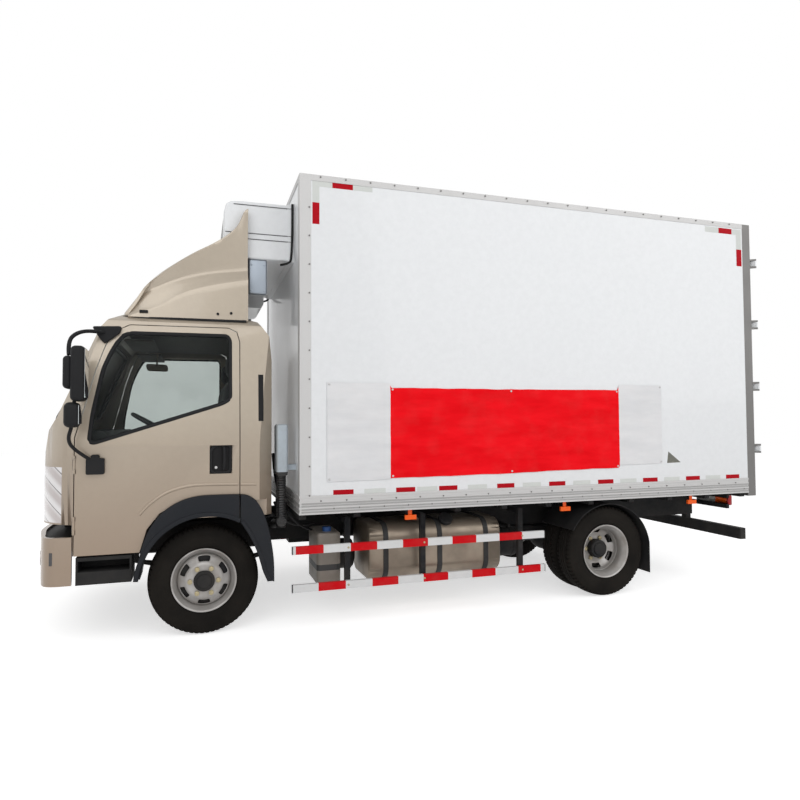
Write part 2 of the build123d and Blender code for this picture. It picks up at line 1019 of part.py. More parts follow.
with BuildPart() as deflector:
    add(slab(deflector_outline, -deflector_half_width, deflector_half_width))
    add(slab(ledge_outline, -deflector_skirt_width, deflector_skirt_width))
    with BuildSketch(Plane.XZ.offset(deflector_half_width - deflector_wall)):
        with BuildLine():
            Polyline(*deflector_outline, close=True)
        make_face()
        offset(amount=-deflector_wall, kind=Kind.INTERSECTION)
        with Locations((at((deflector_front + deflector_rear) / 2), deflector_low)):
            Rectangle(
                deflector_rear - deflector_front - 3 * deflector_wall, 3 * deflector_wall
            )
    extrude(amount=-2 * (deflector_half_width - deflector_wall), mode=Mode.SUBTRACT)
    add(deflector_opening, mode=Mode.SUBTRACT)
    add(cab_form(-fit_gap), mode=Mode.SUBTRACT)
finish(deflector, "deflector")

# Bumper on the frame's nose
bumper_front = -1100
bumper_low = 430
bumper_high = 745
bumper_depth = 30
bumper_side_rear = -835
bumper_corner_set_back = 190
bumper_half_width = 1000
bumper_nose_share = 0.45
bumper_bracket_width = 70
bumper_slot_half_width = 420
bumper_slot_low = 500
bumper_slot_high = 640
fog_lamp_y = 700
fog_lamp_radius = 55
fog_lamp_depth = 30


def bumper_solid(inset, low, high):
    """The bumper's plan outline between two heights, drawn in by an amount."""
    corner_x = at(bumper_front + bumper_corner_set_back)
    corner_y = bumper_half_width * bumper_nose_share
    depth = bumper_corner_set_back - inset
    width = bumper_half_width - corner_y - inset
    tail_x = at(bumper_side_rear) + 2 * inset
    diagonal = math.sqrt(0.5)
    with BuildPart() as body:
        with BuildSketch(Plane.XY.offset(low)):
            with BuildLine():
                Line((corner_x - depth, -corner_y), (corner_x - depth, corner_y))
                for side in (-1, 1):
                    Spline(
                        (corner_x - depth, side * corner_y),
                        (corner_x - depth * diagonal, side * (corner_y + width * diagonal)),
                        (corner_x, side * (corner_y + width)),
                        tangents=((0, side), (1, 0)),
                    )
                    Line((corner_x, side * (corner_y + width)), (tail_x, side * (corner_y + width)))
                Line((tail_x, corner_y + width), (tail_x, -corner_y - width))
            make_face()
        extrude(amount=high - low)
    return body.part


with BuildPart() as bumper:
    add(bumper_solid(0, bumper_low, bumper_high))
    add(bumper_solid(bumper_depth, bumper_low - overrun, bumper_high + overrun), mode=Mode.SUBTRACT)
    add(
        block(
            bumper_front - overrun,
            bumper_front + bumper_depth + overrun,
            -bumper_slot_half_width,
            bumper_slot_half_width,
            bumper_slot_low,
            bumper_slot_high,
        ),
        mode=Mode.SUBTRACT,
    )
    for fog_side in (-1, 1):
        with Locations(
            Plane(
                origin=(at(bumper_front), fog_side * fog_lamp_y, (bumper_slot_low + bumper_slot_high) / 2),
                z_dir=(1, 0, 0),
            )
        ):
            Cylinder(fog_lamp_radius, 2 * fog_lamp_depth, mode=Mode.SUBTRACT)
        add(
            block(
                bumper_front + bumper_depth - edge_round,
                rail_front,
                fog_side * tilt_arm_y - bumper_bracket_width / 2,
                fog_side * tilt_arm_y + bumper_bracket_width / 2,
                rail_bottom + rail_web,
                rail_top - rail_web,
            )
        )
finish(bumper, "bumper")

# Front axle beam and leaf springs
kingpin_y = 700
kingpin_radius = 16
kingpin_half_height = 75
beam_y = 640
beam_width = 64
beam_height = 75
beam_drop = 60
beam_end_height = 70
spring_y = 345
spring_width = 70
spring_thickness = 44
spring_half_length = 500
spring_camber = 70
rear_spring_half_length = 620
rear_spring_thickness = 66
shackle_width = 50
front_spring_low = wheel_height - beam_drop + beam_height / 2
rear_axle_radius = 62
rear_spring_low = wheel_height + rear_axle_radius

with BuildPart() as front_axle:
    with BuildSketch(Plane.XY.offset(wheel_height - beam_end_height / 2)):
        with Locations((at(0), (beam_y + kingpin_y) / 2)):
            Rectangle(beam_width, kingpin_y - beam_y)
        with Locations((at(0), kingpin_y)):
            Circle(beam_width / 2)
    extrude(amount=beam_end_height)
    mirror(about=Plane.XZ)
    with BuildSketch(Plane.YZ.offset(at(0) - beam_width / 2)):
        with BuildLine():
            Polyline(
                (-beam_y, wheel_height + beam_end_height / 2),
                (-beam_y + beam_width, wheel_height - beam_drop + beam_height / 2),
                (beam_y - beam_width, wheel_height - beam_drop + beam_height / 2),
                (beam_y, wheel_height + beam_end_height / 2),
                (beam_y, wheel_height - beam_end_height / 2),
                (beam_y - beam_width, wheel_height - beam_drop - beam_height / 2),
                (-beam_y + beam_width, wheel_height - beam_drop - beam_height / 2),
                (-beam_y, wheel_height - beam_end_height / 2),
                close=True,
            )
        make_face()
    extrude(amount=beam_width)
    for pin_side in (-1, 1):
        with Locations((at(0), pin_side * kingpin_y, wheel_height)):
            Cylinder(kingpin_radius, 2 * kingpin_half_height)
finish(front_axle, "front_axle")


def leaf_pack(middle_x, low, half_length, thickness, camber):
    """One cambered pack on the right side: thick in the middle, thin at the eyes."""
    with BuildPart() as body:
        with BuildSketch(Plane.XZ.offset(-(spring_y - spring_width / 2))):
            with BuildLine():
                ThreePointArc(
                    (middle_x - half_length, low + camber),
                    (middle_x, low),
                    (middle_x + half_length, low + camber),
                )
                Line(
                    (middle_x + half_length, low + camber),
                    (middle_x + half_length, low + camber + thickness / 3),
                )
                ThreePointArc(
                    (middle_x + half_length, low + camber + thickness / 3),
                    (middle_x, low + thickness),
                    (middle_x - half_length, low + camber + thickness / 3),
                )
                Line(
                    (middle_x - half_length, low + camber + thickness / 3),
                    (middle_x - half_length, low + camber),
                )
            make_face()
        extrude(amount=-spring_width)
        for end in (-1, 1):
            eye_x = middle_x + end * half_length
            with BuildSketch(Plane.XY.offset(low + camber)):
                with Locations((eye_x, spring_y)):
                    Rectangle(shackle_width, spring_width)
            extrude(amount=rail_bottom - low - camber)
        # centre clamp that holds the pack on its axle
        with BuildSketch(Plane.XY.offset(low)):
            with Locations((middle_x, spring_y)):
                Rectangle(beam_width + shackle_width, spring_width + shackle_width / 2)
        extrude(amount=thickness + shackle_width / 4)
    return body.part


with BuildPart() as leaf_springs:
    add(leaf_pack(at(0), front_spring_low, spring_half_length, spring_thickness, spring_camber))
    add(
        leaf_pack(
            rear_axle_x,
            rear_spring_low,
            rear_spring_half_length,
            rear_spring_thickness,
            rail_bottom - rear_spring_low - shackle_width / 2,
        )
    )
    mirror(about=Plane.XZ)
finish(leaf_springs, "leaf_springs")

# Rear axle with its differential and the drive shaft
dual_centre_y = 797
dual_spacing = 240
hub_face_y = 560
differential_radius = 165
differential_length = 210
shaft_radius = 42
gearbox_rear = engine_rear + shaft_radius / 4

with BuildPart() as rear_axle:
    with Locations(Plane(origin=(rear_axle_x, 0, wheel_height), z_dir=(0, 1, 0))):
        Cylinder(rear_axle_radius, 2 * hub_face_y)
    with Locations((rear_axle_x, 0, wheel_height)):
        Sphere(differential_radius)
    add(
        bar(
            (rear_axle_x - differential_radius - differential_length / 2, 0, wheel_height + shaft_radius / 2),
            (rear_axle_x, 0, wheel_height),
            differential_radius / 2,
        )
    )
    add(
        bar(
            (at(gearbox_rear), 0, engine_bottom + 2 * shaft_radius),
            (rear_axle_x - differential_radius - differential_length / 2, 0, wheel_height + shaft_radius / 2),
            shaft_radius,
        )
    )
finish(rear_axle, "rear_axle")

# Wheels: tyres and rims, revolved about the axle
bead_half_width = 78
side_bulge_radius = 300
tread_half_width = 78
shoulder_drop = 16
tyre_clearance = fit_gap
flange_radius = 222
flange_lip = 10
barrel_radius = 196
barrel_wall = 10
disc_wall = 9
vent_count = 6
vent_ring_radius = 150
vent_half_width = 27
vent_half_height = 17
nut_count = 6
nut_ring_radius = 96
nut_radius = 17
front_wheel_y = 825
front_disc_offset = 60
front_disc_crown = 22
front_hub_radius = 62
front_hub_inner = -40
front_hub_reach = 165
rear_disc_offset = -45
rear_disc_crown = -(dual_spacing / 2 + rear_disc_offset - disc_wall)
rear_hub_radius = 72
rear_hub_reach = 110


def tyre(centre):
    """One tyre as a ring with bulged sides, about the axle."""
    with BuildPart() as body:
        with BuildSketch(Plane(origin=centre, x_dir=(1, 0, 0), z_dir=(0, 0, 1))):
            with BuildLine():
                Polyline(
                    (flange_radius + tyre_clearance, -bead_half_width),
                    (rim_seat_radius, -bead_half_width),
                    (rim_seat_radius, bead_half_width),
                    (flange_radius + tyre_clearance, bead_half_width),
                )
                ThreePointArc(
                    (flange_radius + tyre_clearance, bead_half_width),
                    (side_bulge_radius, tyre_width / 2),
                    (tyre_radius - shoulder_drop, tread_half_width + shoulder_drop / 2),
                )
                Line(
                    (tyre_radius - shoulder_drop, tread_half_width + shoulder_drop / 2),
                    (tyre_radius, tread_half_width - shoulder_drop / 2),
                )
                Line(
                    (tyre_radius, tread_half_width - shoulder_drop / 2),
                    (tyre_radius, -tread_half_width + shoulder_drop / 2),
                )
                Line(
                    (tyre_radius, -tread_half_width + shoulder_drop / 2),
                    (tyre_radius - shoulder_drop, -tread_half_width - shoulder_drop / 2),
                )
                ThreePointArc(
                    (tyre_radius - shoulder_drop, -tread_half_width - shoulder_drop / 2),
                    (side_bulge_radius, -tyre_width / 2),
                    (flange_radius + tyre_clearance, -bead_half_width),
                )
            make_face()
        revolve(axis=Axis(centre, (0, 1, 0)))
    return body.part


def rim(centre, side, disc_offset, crown, hub_radius, hub_reach, hub_inner):
    """One rim: barrel with flanges, a dished disc with vents, a hub and its nuts."""
    x, y, z = centre
    half = bead_half_width
    seat = rim_seat_radius - tyre_clearance
    disc = side * disc_offset
    with BuildPart() as body:
        with BuildSketch(Plane(origin=centre, x_dir=(1, 0, 0), z_dir=(0, 0, 1))):
            with BuildLine():
                Polyline(
                    (barrel_radius - barrel_wall, -half - flange_lip),
                    (flange_radius, -half - flange_lip),
                    (flange_radius, -half - tyre_clearance),
                    (seat, -half - tyre_clearance),
                    (seat, half + tyre_clearance),
                    (flange_radius, half + tyre_clearance),
                    (flange_radius, half + flange_lip),
                    (barrel_radius - barrel_wall, half + flange_lip),
                    close=True,
                )
            make_face()
        revolve(axis=Axis(centre, (0, 1, 0)))
        with BuildSketch(Plane(origin=centre, x_dir=(1, 0, 0), z_dir=(0, 0, 1))):
            with BuildLine():
                Polyline(
                    (0, disc + side * crown),
                    (hub_radius * 1.2, disc + side * crown),
                    (barrel_radius - barrel_wall / 2, disc),
                    (barrel_radius - barrel_wall / 2, disc - side * disc_wall),
                    (hub_radius * 1.2, disc + side * (crown - disc_wall)),
                    (0, disc + side * (crown - disc_wall)),
                    close=True,
                )
            make_face()
        revolve(axis=Axis(centre, (0, 1, 0)))
        vent_plane = Plane(origin=(x, y + disc, z), x_dir=(1, 0, 0), z_dir=(0, side, 0))
        with BuildSketch(vent_plane):
            with PolarLocations(vent_ring_radius, vent_count):
                Ellipse(vent_half_height, vent_half_width)
        extrude(amount=2 * abs(crown) + 2 * disc_wall, both=True, mode=Mode.SUBTRACT)
        hub_plane = Plane(origin=(x, y + side * hub_inner, z), x_dir=(1, 0, 0), z_dir=(0, side, 0))
        with BuildSketch(hub_plane):
            Circle(hub_radius)
        extrude(amount=hub_reach)
        nut_plane = Plane(
            origin=(x, y + disc + side * (crown - disc_wall), z), x_dir=(1, 0, 0), z_dir=(0, side, 0)
        )
        with BuildSketch(nut_plane):
            with PolarLocations(nut_ring_radius, nut_count):
                RegularPolygon(nut_radius, 6)
        extrude(amount=disc_wall + 2 * nut_radius)
    return body.part


for side_name, side in (("left", -1), ("right", 1)):
    front_centre = (at(0), side * front_wheel_y, wheel_height)
    with BuildPart() as front_tyre:
        add(tyre(front_centre))
    finish(front_tyre, f"tyre_front_{side_name}")
    with BuildPart() as front_rim:
        add(
            rim(
                front_centre,
                side,
                front_disc_offset,
                front_disc_crown,
                front_hub_radius,
                front_hub_reach,
                front_hub_inner,
            )
        )
    finish(front_rim, f"rim_front_{side_name}")
    outer_centre = (rear_axle_x, side * (dual_centre_y + dual_spacing / 2), wheel_height)
    inner_centre = (rear_axle_x, side * (dual_centre_y - dual_spacing / 2), wheel_height)
    with BuildPart() as rear_tyres:
        add(tyre(outer_centre))
        add(tyre(inner_centre))
    finish(rear_tyres, f"tyres_rear_{side_name}")
    with BuildPart() as rear_rims:
        add(
            rim(
                outer_centre,
                side,
                rear_disc_offset,
                rear_disc_crown,
                rear_hub_radius,
                rear_hub_reach,
                rear_disc_offset + rear_disc_crown,
            )
        )
        add(
            rim(
                inner_centre,
                -side,
                rear_disc_offset,
                rear_disc_crown,
                rear_hub_radius,
                rear_hub_reach,
                rear_disc_offset + rear_disc_crown,
            )
        )
        # drum and hub that carry both discs
        with Locations(
            Plane(
                origin=(
                    rear_axle_x,
                    side * (hub_face_y + tyre_clearance + (dual_centre_y - hub_face_y) / 2),
                    wheel_height,
                ),
                z_dir=(0, 1, 0),
            )
        ):
            Cylinder(rear_hub_radius, dual_centre_y - hub_face_y)
    finish(rear_rims, f"rims_rear_{side_name}")


# Knuckles on their kingpins: fork, stub and steering arm
fork_radius = 2 * kingpin_radius
plate_y = kingpin_y + beam_width / 2 + move_gap
stub_end_y = front_wheel_y + front_hub_inner - fit_gap
arm_reach = 190
arm_end_y = 655
arm_width = 44
arm_low = wheel_height - kingpin_half_height
tie_rod_radius = 14
tie_ball_radius = 20

for side_name, side in (("left", -1), ("right", 1)):
    with BuildPart() as knuckle:
        for lug_low in (wheel_height - kingpin_half_height, wheel_height + beam_end_height / 2 + fit_gap):
            with BuildSketch(Plane.XY.offset(lug_low)):
                with Locations((at(0), side * (kingpin_y + stub_end_y) / 2)):
                    Rectangle(2 * fork_radius, stub_end_y - kingpin_y)
                with Locations((at(0), side * kingpin_y)):
                    Circle(fork_radius)
                    Circle(kingpin_radius + fit_gap, mode=Mode.SUBTRACT)
            extrude(amount=kingpin_half_height - beam_end_height / 2 - fit_gap)
        with BuildSketch(Plane.XY.offset(wheel_height - kingpin_half_height)):
            with Locations((at(0), side * (plate_y + stub_end_y) / 2)):
                Rectangle(2 * fork_radius, stub_end_y - plate_y)
        extrude(amount=2 * kingpin_half_height)
        with BuildSketch(Plane.XY.offset(arm_low)):
            with BuildLine():
                Polyline(
                    (at(0), side * (kingpin_y - fork_radius / 2)),
                    (at(arm_reach), side * (arm_end_y - arm_width / 2)),
                    (at(arm_reach), side * (arm_end_y + arm_width / 2)),
                    (at(0), side * (kingpin_y + fork_radius)),
                    close=True,
                )
            make_face()
            with Locations((at(arm_reach), side * arm_end_y)):
                Circle(arm_width / 2)
            with Locations((at(0), side * kingpin_y)):
                Circle(kingpin_radius + fit_gap, mode=Mode.SUBTRACT)
        extrude(amount=kingpin_radius)
    finish(knuckle, f"knuckle_{side_name}")

tie_low = arm_low - fit_gap - 2 * tie_ball_radius
with BuildPart() as tie_rod:
    add(
        bar(
            (at(arm_reach), -arm_end_y, tie_low + tie_ball_radius),
            (at(arm_reach), arm_end_y - arm_width, tie_low + tie_ball_radius),
            tie_rod_radius,
        )
    )
    with Locations((at(arm_reach), -arm_end_y, tie_low + tie_ball_radius)):
        Cylinder(tie_ball_radius, 2 * tie_ball_radius)
finish(tie_rod, "tie_rod")

# Load body: insulated panels with a floor on sills and cross beams
floor_thickness = 110
sill_width = 60
sill_drop = 40
sill_top = cargo_bottom - sill_drop
beam_count = 11
beam_end_inset = 45
beam_half_length = cargo_half_width - beam_end_inset
beam_depth = cargo_bottom - sill_top
beam_thickness = 50
rear_post = 48
rear_frame_depth = 90
door_thickness = 80
door_seam = 6
rear_head = 70
rear_sill = 60
cargo_inner_front = cargo_front + wall
panel_rear = cargo_rear - rear_frame_depth
inner_half_width = cargo_half_width - wall
floor_top = cargo_bottom + floor_thickness
roof_under = cargo_top - wall

with BuildPart() as cargo_subframe:
    with BuildSketch(Plane.XY.offset(rail_top)):
        with Locations((at((cargo_front + panel_rear) / 2), rail_half_spacing - sill_width / 2)):
            Rectangle(panel_rear - cargo_front, sill_width)
    extrude(amount=sill_top - rail_top)
    mirror(about=Plane.XZ)
    beam_pitch = (panel_rear - cargo_front - beam_thickness) / (beam_count - 1)
    with BuildSketch(Plane.XY.offset(sill_top)):
        with Locations((at((cargo_front + panel_rear) / 2), 0)):
            with GridLocations(beam_pitch, 0, beam_count, 1):
                Rectangle(beam_thickness, 2 * beam_half_length)
    extrude(amount=beam_depth)
finish(cargo_subframe, "cargo_subframe")

with BuildPart() as cargo_floor:
    add(
        block(
            cargo_inner_front,
            panel_rear,
            -inner_half_width,
            inner_half_width,
            cargo_bottom,
            floor_top,
        )
    )
finish(cargo_floor, "cargo_floor")

for side_name, side in (("left", -1), ("right", 1)):
    with BuildPart() as cargo_wall:
        add(
            block(
                cargo_inner_front,
                panel_rear,
                min(side * inner_half_width, side * cargo_half_width),
                max(side * inner_half_width, side * cargo_half_width),
                cargo_bottom,
                roof_under,
            )
        )
    finish(cargo_wall, f"cargo_wall_{side_name}")

with BuildPart() as cargo_front_wall:
    add(
        block(cargo_front, cargo_inner_front, -cargo_half_width, cargo_half_width, cargo_bottom, roof_under)
    )
finish(cargo_front_wall, "cargo_front_wall")

with BuildPart() as cargo_roof:
    add(block(cargo_front, panel_rear, -cargo_half_width, cargo_half_width, roof_under, cargo_top))
finish(cargo_roof, "cargo_roof")

# Metal trim: ribbed bottom rail, top rail and corner posts
trim_thickness = 8
bottom_rail_height = 135
bottom_rail_ribs = 3
rib_height = 16
top_rail_height = 45
corner_post_width = 80

with BuildPart() as cargo_trim:
    for trim_low, trim_high, trim_out in (
        (cargo_bottom, cargo_bottom + bottom_rail_height, trim_thickness / 2),
        (cargo_top - top_rail_height, cargo_top, trim_thickness / 2),
    ):
        add(
            block(
                cargo_front - trim_out,
                panel_rear,
                -cargo_half_width - trim_out,
                cargo_half_width + trim_out,
                trim_low,
                trim_high,
            )
        )
    for rib in range(bottom_rail_ribs + 1):
        rib_low = cargo_bottom + rib * (bottom_rail_height - rib_height) / bottom_rail_ribs
        add(
            block(
                cargo_front - trim_thickness,
                panel_rear,
                -cargo_half_width - trim_thickness,
                cargo_half_width + trim_thickness,
                rib_low,
                rib_low + rib_height,
            )
        )
    for post_side in (-1, 1):
        add(
            block(
                cargo_front - trim_thickness / 2,
                cargo_front + corner_post_width,
                min(
                    post_side * (cargo_half_width - corner_post_width),
                    post_side * (cargo_half_width + trim_thickness / 2),
                ),
                max(
                    post_side * (cargo_half_width - corner_post_width),
                    post_side * (cargo_half_width + trim_thickness / 2),
                ),
                cargo_bottom,
                cargo_top,
            )
        )
    add(
        block(
            cargo_front,
            panel_rear,
            -cargo_half_width,
            cargo_half_width,
            cargo_bottom - overrun,
            cargo_top + overrun,
        ),
        mode=Mode.SUBTRACT,
    )
finish(cargo_trim, "cargo_trim")

# Hinge line of the rear doors, outside the corners
door_low = floor_top + door_seam
door_high = cargo_top - rear_head - door_seam
door_out_y = cargo_half_width - rear_post - door_seam
hinge_pin_inset = 10
hinge_pin_reach = 15
hinge_pin_x = cargo_rear + hardware_depth - hinge_pin_inset
hinge_pin_y = cargo_half_width + hinge_pin_reach
hinge_pin_radius = 6
hinge_knuckle_radius = 10
hinge_knuckle_height = 50
hinge_lug_height = 16
hinge_count = 4
hinge_pitch = (door_high - door_low) / hinge_count

with BuildPart() as cargo_rear_frame:
    add(
        block(
            panel_rear,
            cargo_rear,
            -cargo_half_width,
            cargo_half_width,
            cargo_bottom - rear_sill / 2,
            cargo_top,
        )
    )
    add(
        block(
            panel_rear - overrun,
            cargo_rear + overrun,
            -cargo_half_width + rear_post,
            cargo_half_width - rear_post,
            floor_top,
            cargo_top - rear_head,
        ),
        mode=Mode.SUBTRACT,
    )
    for hinge in range(hinge_count):
        hinge_z = door_low + (hinge + 0.5) * hinge_pitch
        lug_step = (hinge_knuckle_height + hinge_lug_height) / 2 + fit_gap
        for lug_z in (hinge_z - lug_step, hinge_z + lug_step):
            with BuildSketch(Plane.XY.offset(lug_z - hinge_lug_height / 2)):
                with BuildLine():
                    Polyline(
                        (at(cargo_rear - move_gap), cargo_half_width - rear_post + move_gap),
                        (at(cargo_rear - move_gap), cargo_half_width),
                        (at(hinge_pin_x), hinge_pin_y + hinge_knuckle_radius),
                        (at(hinge_pin_x) + hinge_knuckle_radius, hinge_pin_y),
                        close=True,
                    )
                make_face()
                with Locations((at(hinge_pin_x), hinge_pin_y)):
                    Circle(hinge_knuckle_radius)
            extrude(amount=hinge_lug_height)
        with Locations((at(hinge_pin_x), hinge_pin_y, hinge_z)):
            Cylinder(hinge_pin_radius - fit_gap, hinge_knuckle_height + hinge_lug_height)
    mirror(about=Plane.XZ)
finish(cargo_rear_frame, "cargo_rear_frame")

# Rear doors with lock rods, swung on pins outside the corners
door_in_y = door_seam / 2
hinge_strap_length = 330
hinge_strap_thickness = 8
lock_rod_radius = 13
lock_rod_y_shares = [0.2, 0.62]
lock_rod_stand = 26
lock_keeper_height = 60
lock_keeper_width = 70
lock_handle_height = 380
lock_handle_share = 0.24
door_front_x = cargo_rear - door_thickness

for side_name, side in (("left", -1), ("right", 1)):
    with BuildPart() as cargo_door:
        add(
            block(
                door_front_x,
                cargo_rear,
                min(side * door_in_y, side * door_out_y),
                max(side * door_in_y, side * door_out_y),
                door_low,
                door_high,
            )
        )
        for hinge in range(hinge_count):
            knuckle_low = door_low + (hinge + 0.5) * hinge_pitch - hinge_knuckle_height / 2
            add(
                block(
                    cargo_rear,
                    cargo_rear + hinge_strap_thickness,
                    min(side * (door_out_y - hinge_strap_length), side * door_out_y),
                    max(side * (door_out_y - hinge_strap_length), side * door_out_y),
                    knuckle_low,
                    knuckle_low + hinge_knuckle_height,
                )
            )
            with BuildSketch(Plane.XY.offset(knuckle_low)):
                with BuildLine():
                    Polyline(
                        (at(cargo_rear), side * (door_out_y - 2 * hinge_knuckle_radius)),
                        (at(cargo_rear), side * door_out_y),
                        (at(hinge_pin_x) - hinge_knuckle_radius, side * hinge_pin_y),
                        (at(hinge_pin_x), side * (hinge_pin_y - hinge_knuckle_radius)),
                        (
                            at(cargo_rear) + hinge_strap_thickness,
                            side * (door_out_y - 2 * hinge_knuckle_radius),
                        ),
                        close=True,
                    )
                make_face()
                with Locations((at(hinge_pin_x), side * hinge_pin_y)):
                    Circle(hinge_knuckle_radius)
                    Circle(hinge_pin_radius, mode=Mode.SUBTRACT)
            extrude(amount=hinge_knuckle_height)
    finish(cargo_door, f"cargo_door_{side_name}")
    with BuildPart() as lock_rods:
        for share in lock_rod_y_shares:
            rod_y = side * (door_in_y + share * (door_out_y - door_in_y))
            with Locations((at(cargo_rear) + lock_rod_stand, rod_y, (door_low + door_high) / 2)):
                Cylinder(lock_rod_radius, door_high - door_low)
            for keeper in range(hinge_count + 1):
                keeper_z = door_low + lock_keeper_height / 2 + keeper * (
                    door_high - door_low - lock_keeper_height
                ) / hinge_count
                add(
                    block(
                        cargo_rear + fit_gap,
                        cargo_rear + lock_rod_stand,
                        rod_y - lock_keeper_width / 2,
                        rod_y + lock_keeper_width / 2,
                        keeper_z - lock_keeper_height / 2,
                        keeper_z + lock_keeper_height / 2,
                    )
                )
            handle_z = door_low + lock_handle_share * (door_high - door_low)
            add(
                block(
                    cargo_rear + lock_rod_stand - lock_rod_radius,
                    cargo_rear + lock_rod_stand + lock_rod_radius / 2,
                    min(rod_y, rod_y + side * lock_handle_height),
                    max(rod_y, rod_y + side * lock_handle_height),
                    handle_z,
                    handle_z + 3 * lock_rod_radius,
                )
            )
    finish(lock_rods, f"lock_rods_{side_name}")

# Cooling unit on the front wall, above the cab
unit_front = 130
unit_half_width = 765
unit_low = 2740
unit_high = 3180
unit_edge_radius = 45
unit_neck_half_width = 300
unit_neck_front = 306
unit_neck_rear = 470
unit_neck_low = 2450
unit_grille_half_width = 640
unit_grille_low = 2900
unit_grille_high = 3110
unit_grille_depth = 40
unit_slat_count = 6
unit_slat_thickness = 8
unit_seam_depth = 4
unit_shares = [
    (0.0, 0.16),
    (0.0, 0.8),
    (0.03, 0.93),
    (0.1, 0.985),
    (0.25, 1.0),
    (1.0, 1.0),
    (1.0, 0.0),
    (0.4, 0.0),
    (0.15, 0.05),
    (0.04, 0.1),
]
unit_rear = cargo_front
unit_outline = placed(unit_shares, unit_front, unit_rear, unit_low, unit_high)
slat_pitch = (unit_grille_high - unit_grille_low) / unit_slat_count

with BuildPart() as cooling_unit:
    add(slab(unit_outline, -unit_half_width, unit_half_width))
    fillet(cooling_unit.faces().filter_by(Axis.Y).edges(), radius=unit_edge_radius / 3)
    add(
        block(
            unit_front - overrun,
            unit_front + unit_grille_depth,
            -unit_grille_half_width,
            unit_grille_half_width,
            unit_grille_low,
            unit_grille_high,
        ),
        mode=Mode.SUBTRACT,
    )
    for slat in range(1, unit_slat_count):
        slat_z = unit_grille_low + slat * slat_pitch
        add(
            block(
                unit_front + unit_slat_thickness,
                unit_front + unit_grille_depth,
                -unit_grille_half_width,
                unit_grille_half_width,
                slat_z - unit_slat_thickness / 2,
                slat_z + unit_slat_thickness / 2,
            )
        )
    add(
        block(
            unit_rear - unit_edge_radius,
            unit_rear,
            -unit_half_width - unit_seam_depth,
            unit_half_width + unit_seam_depth,
            unit_low - unit_seam_depth,
            unit_high + unit_seam_depth,
        )
    )
finish(cooling_unit, "cooling_unit")

with BuildPart() as compressor_box:
    add(
        block(
            unit_neck_front,
            unit_neck_rear,
            -unit_neck_half_width,
            unit_neck_half_width,
            unit_neck_low,
            unit_low,
        )
    )
    fillet(compressor_box.edges().filter_by(Axis.Y).group_by(Axis.Z)[0], radius=unit_edge_radius)
finish(compressor_box, "compressor_box")

# Evaporator under the roof inside the load space
evaporator_length = 380
evaporator_half_width = 700
evaporator_height = 210
evaporator_fan_radius = 85
evaporator_fan_depth = 30
evaporator_fan_count = 3

with BuildPart() as evaporator:
    add(
        block(
            cargo_inner_front,
            cargo_inner_front + evaporator_length,
            -evaporator_half_width,
            evaporator_half_width,
            roof_under - evaporator_height,
            roof_under,
        )
    )
    fillet(
        evaporator.edges().filter_by(Axis.Y).group_by(Axis.Z)[0].sort_by(Axis.X)[-1],
        radius=unit_edge_radius,
    )
    fan_pitch = 2 * evaporator_half_width / evaporator_fan_count
    with Locations(
        Plane(
            origin=(
                at(cargo_inner_front + evaporator_length),
                0,
                roof_under - evaporator_height / 2,
            ),
            x_dir=(0, 1, 0),
            z_dir=(1, 0, 0),
        )
    ):
        with GridLocations(fan_pitch, 0, evaporator_fan_count, 1):
            Cylinder(evaporator_fan_radius, 2 * evaporator_fan_depth, mode=Mode.SUBTRACT)
finish(evaporator, "evaporator")

# Fuel tank with its straps and brackets, left side
tank_front = 1200
tank_length = 1110
tank_outer_y = 950
tank_inner_y = 430
tank_low = 275
tank_high = 705
tank_corner = 110
strap_width = 40
strap_thickness = 5
strap_shares = [0.12, 0.52, 0.88]
tank_cap_radius = 42
tank_cap_height = 40
tank_cap_share = 0.42
bracket_height = 60

with BuildPart() as tank_body:
    with BuildSketch(Plane.YZ.offset(at(tank_front))):
        with Locations((-(tank_outer_y + tank_inner_y) / 2, (tank_low + tank_high) / 2)):
            RectangleRounded(tank_outer_y - tank_inner_y, tank_high - tank_low, tank_corner)
    extrude(amount=tank_length)
    chamfer(tank_body.faces().filter_by(Axis.X).edges(), length=edge_round * 3)

with BuildPart() as fuel_tank:
    add(tank_body.part)
    for share in strap_shares:
        strap_x = at(tank_front + share * tank_length) - strap_width / 2
        with BuildSketch(Plane.YZ.offset(strap_x)):
            with Locations((-(tank_outer_y + tank_inner_y) / 2, (tank_low + tank_high) / 2)):
                RectangleRounded(
                    tank_outer_y - tank_inner_y + 2 * strap_thickness,
                    tank_high - tank_low + 2 * strap_thickness,
                    tank_corner + strap_thickness,
                )
        extrude(amount=strap_width)
        with BuildSketch(Plane.YZ.offset(strap_x)):
            with Locations(
                (
                    -(rail_half_spacing + tank_inner_y) / 2,
                    tank_high - tank_corner - bracket_height / 2,
                )
            ):
                Rectangle(tank_inner_y - rail_half_spacing, bracket_height)
        extrude(amount=strap_width)
    cap_x = at(tank_front + tank_cap_share * tank_length)
    with BuildSketch(Plane.XY.offset(tank_high - strap_thickness)):
        with Locations((cap_x, -tank_outer_y + tank_corner + tank_cap_radius)):
            Circle(tank_cap_radius)
    extrude(amount=tank_cap_height)
finish(fuel_tank, "fuel_tank")

# Exhaust fluid tank, left side ahead of the fuel tank
fluid_front = 800
fluid_length = 182
fluid_low = 292
fluid_high = 665
fluid_inner_y = 560
fluid_corner = 35
fluid_cap_radius = 32
fluid_cap_height = 36
fluid_bracket = 40

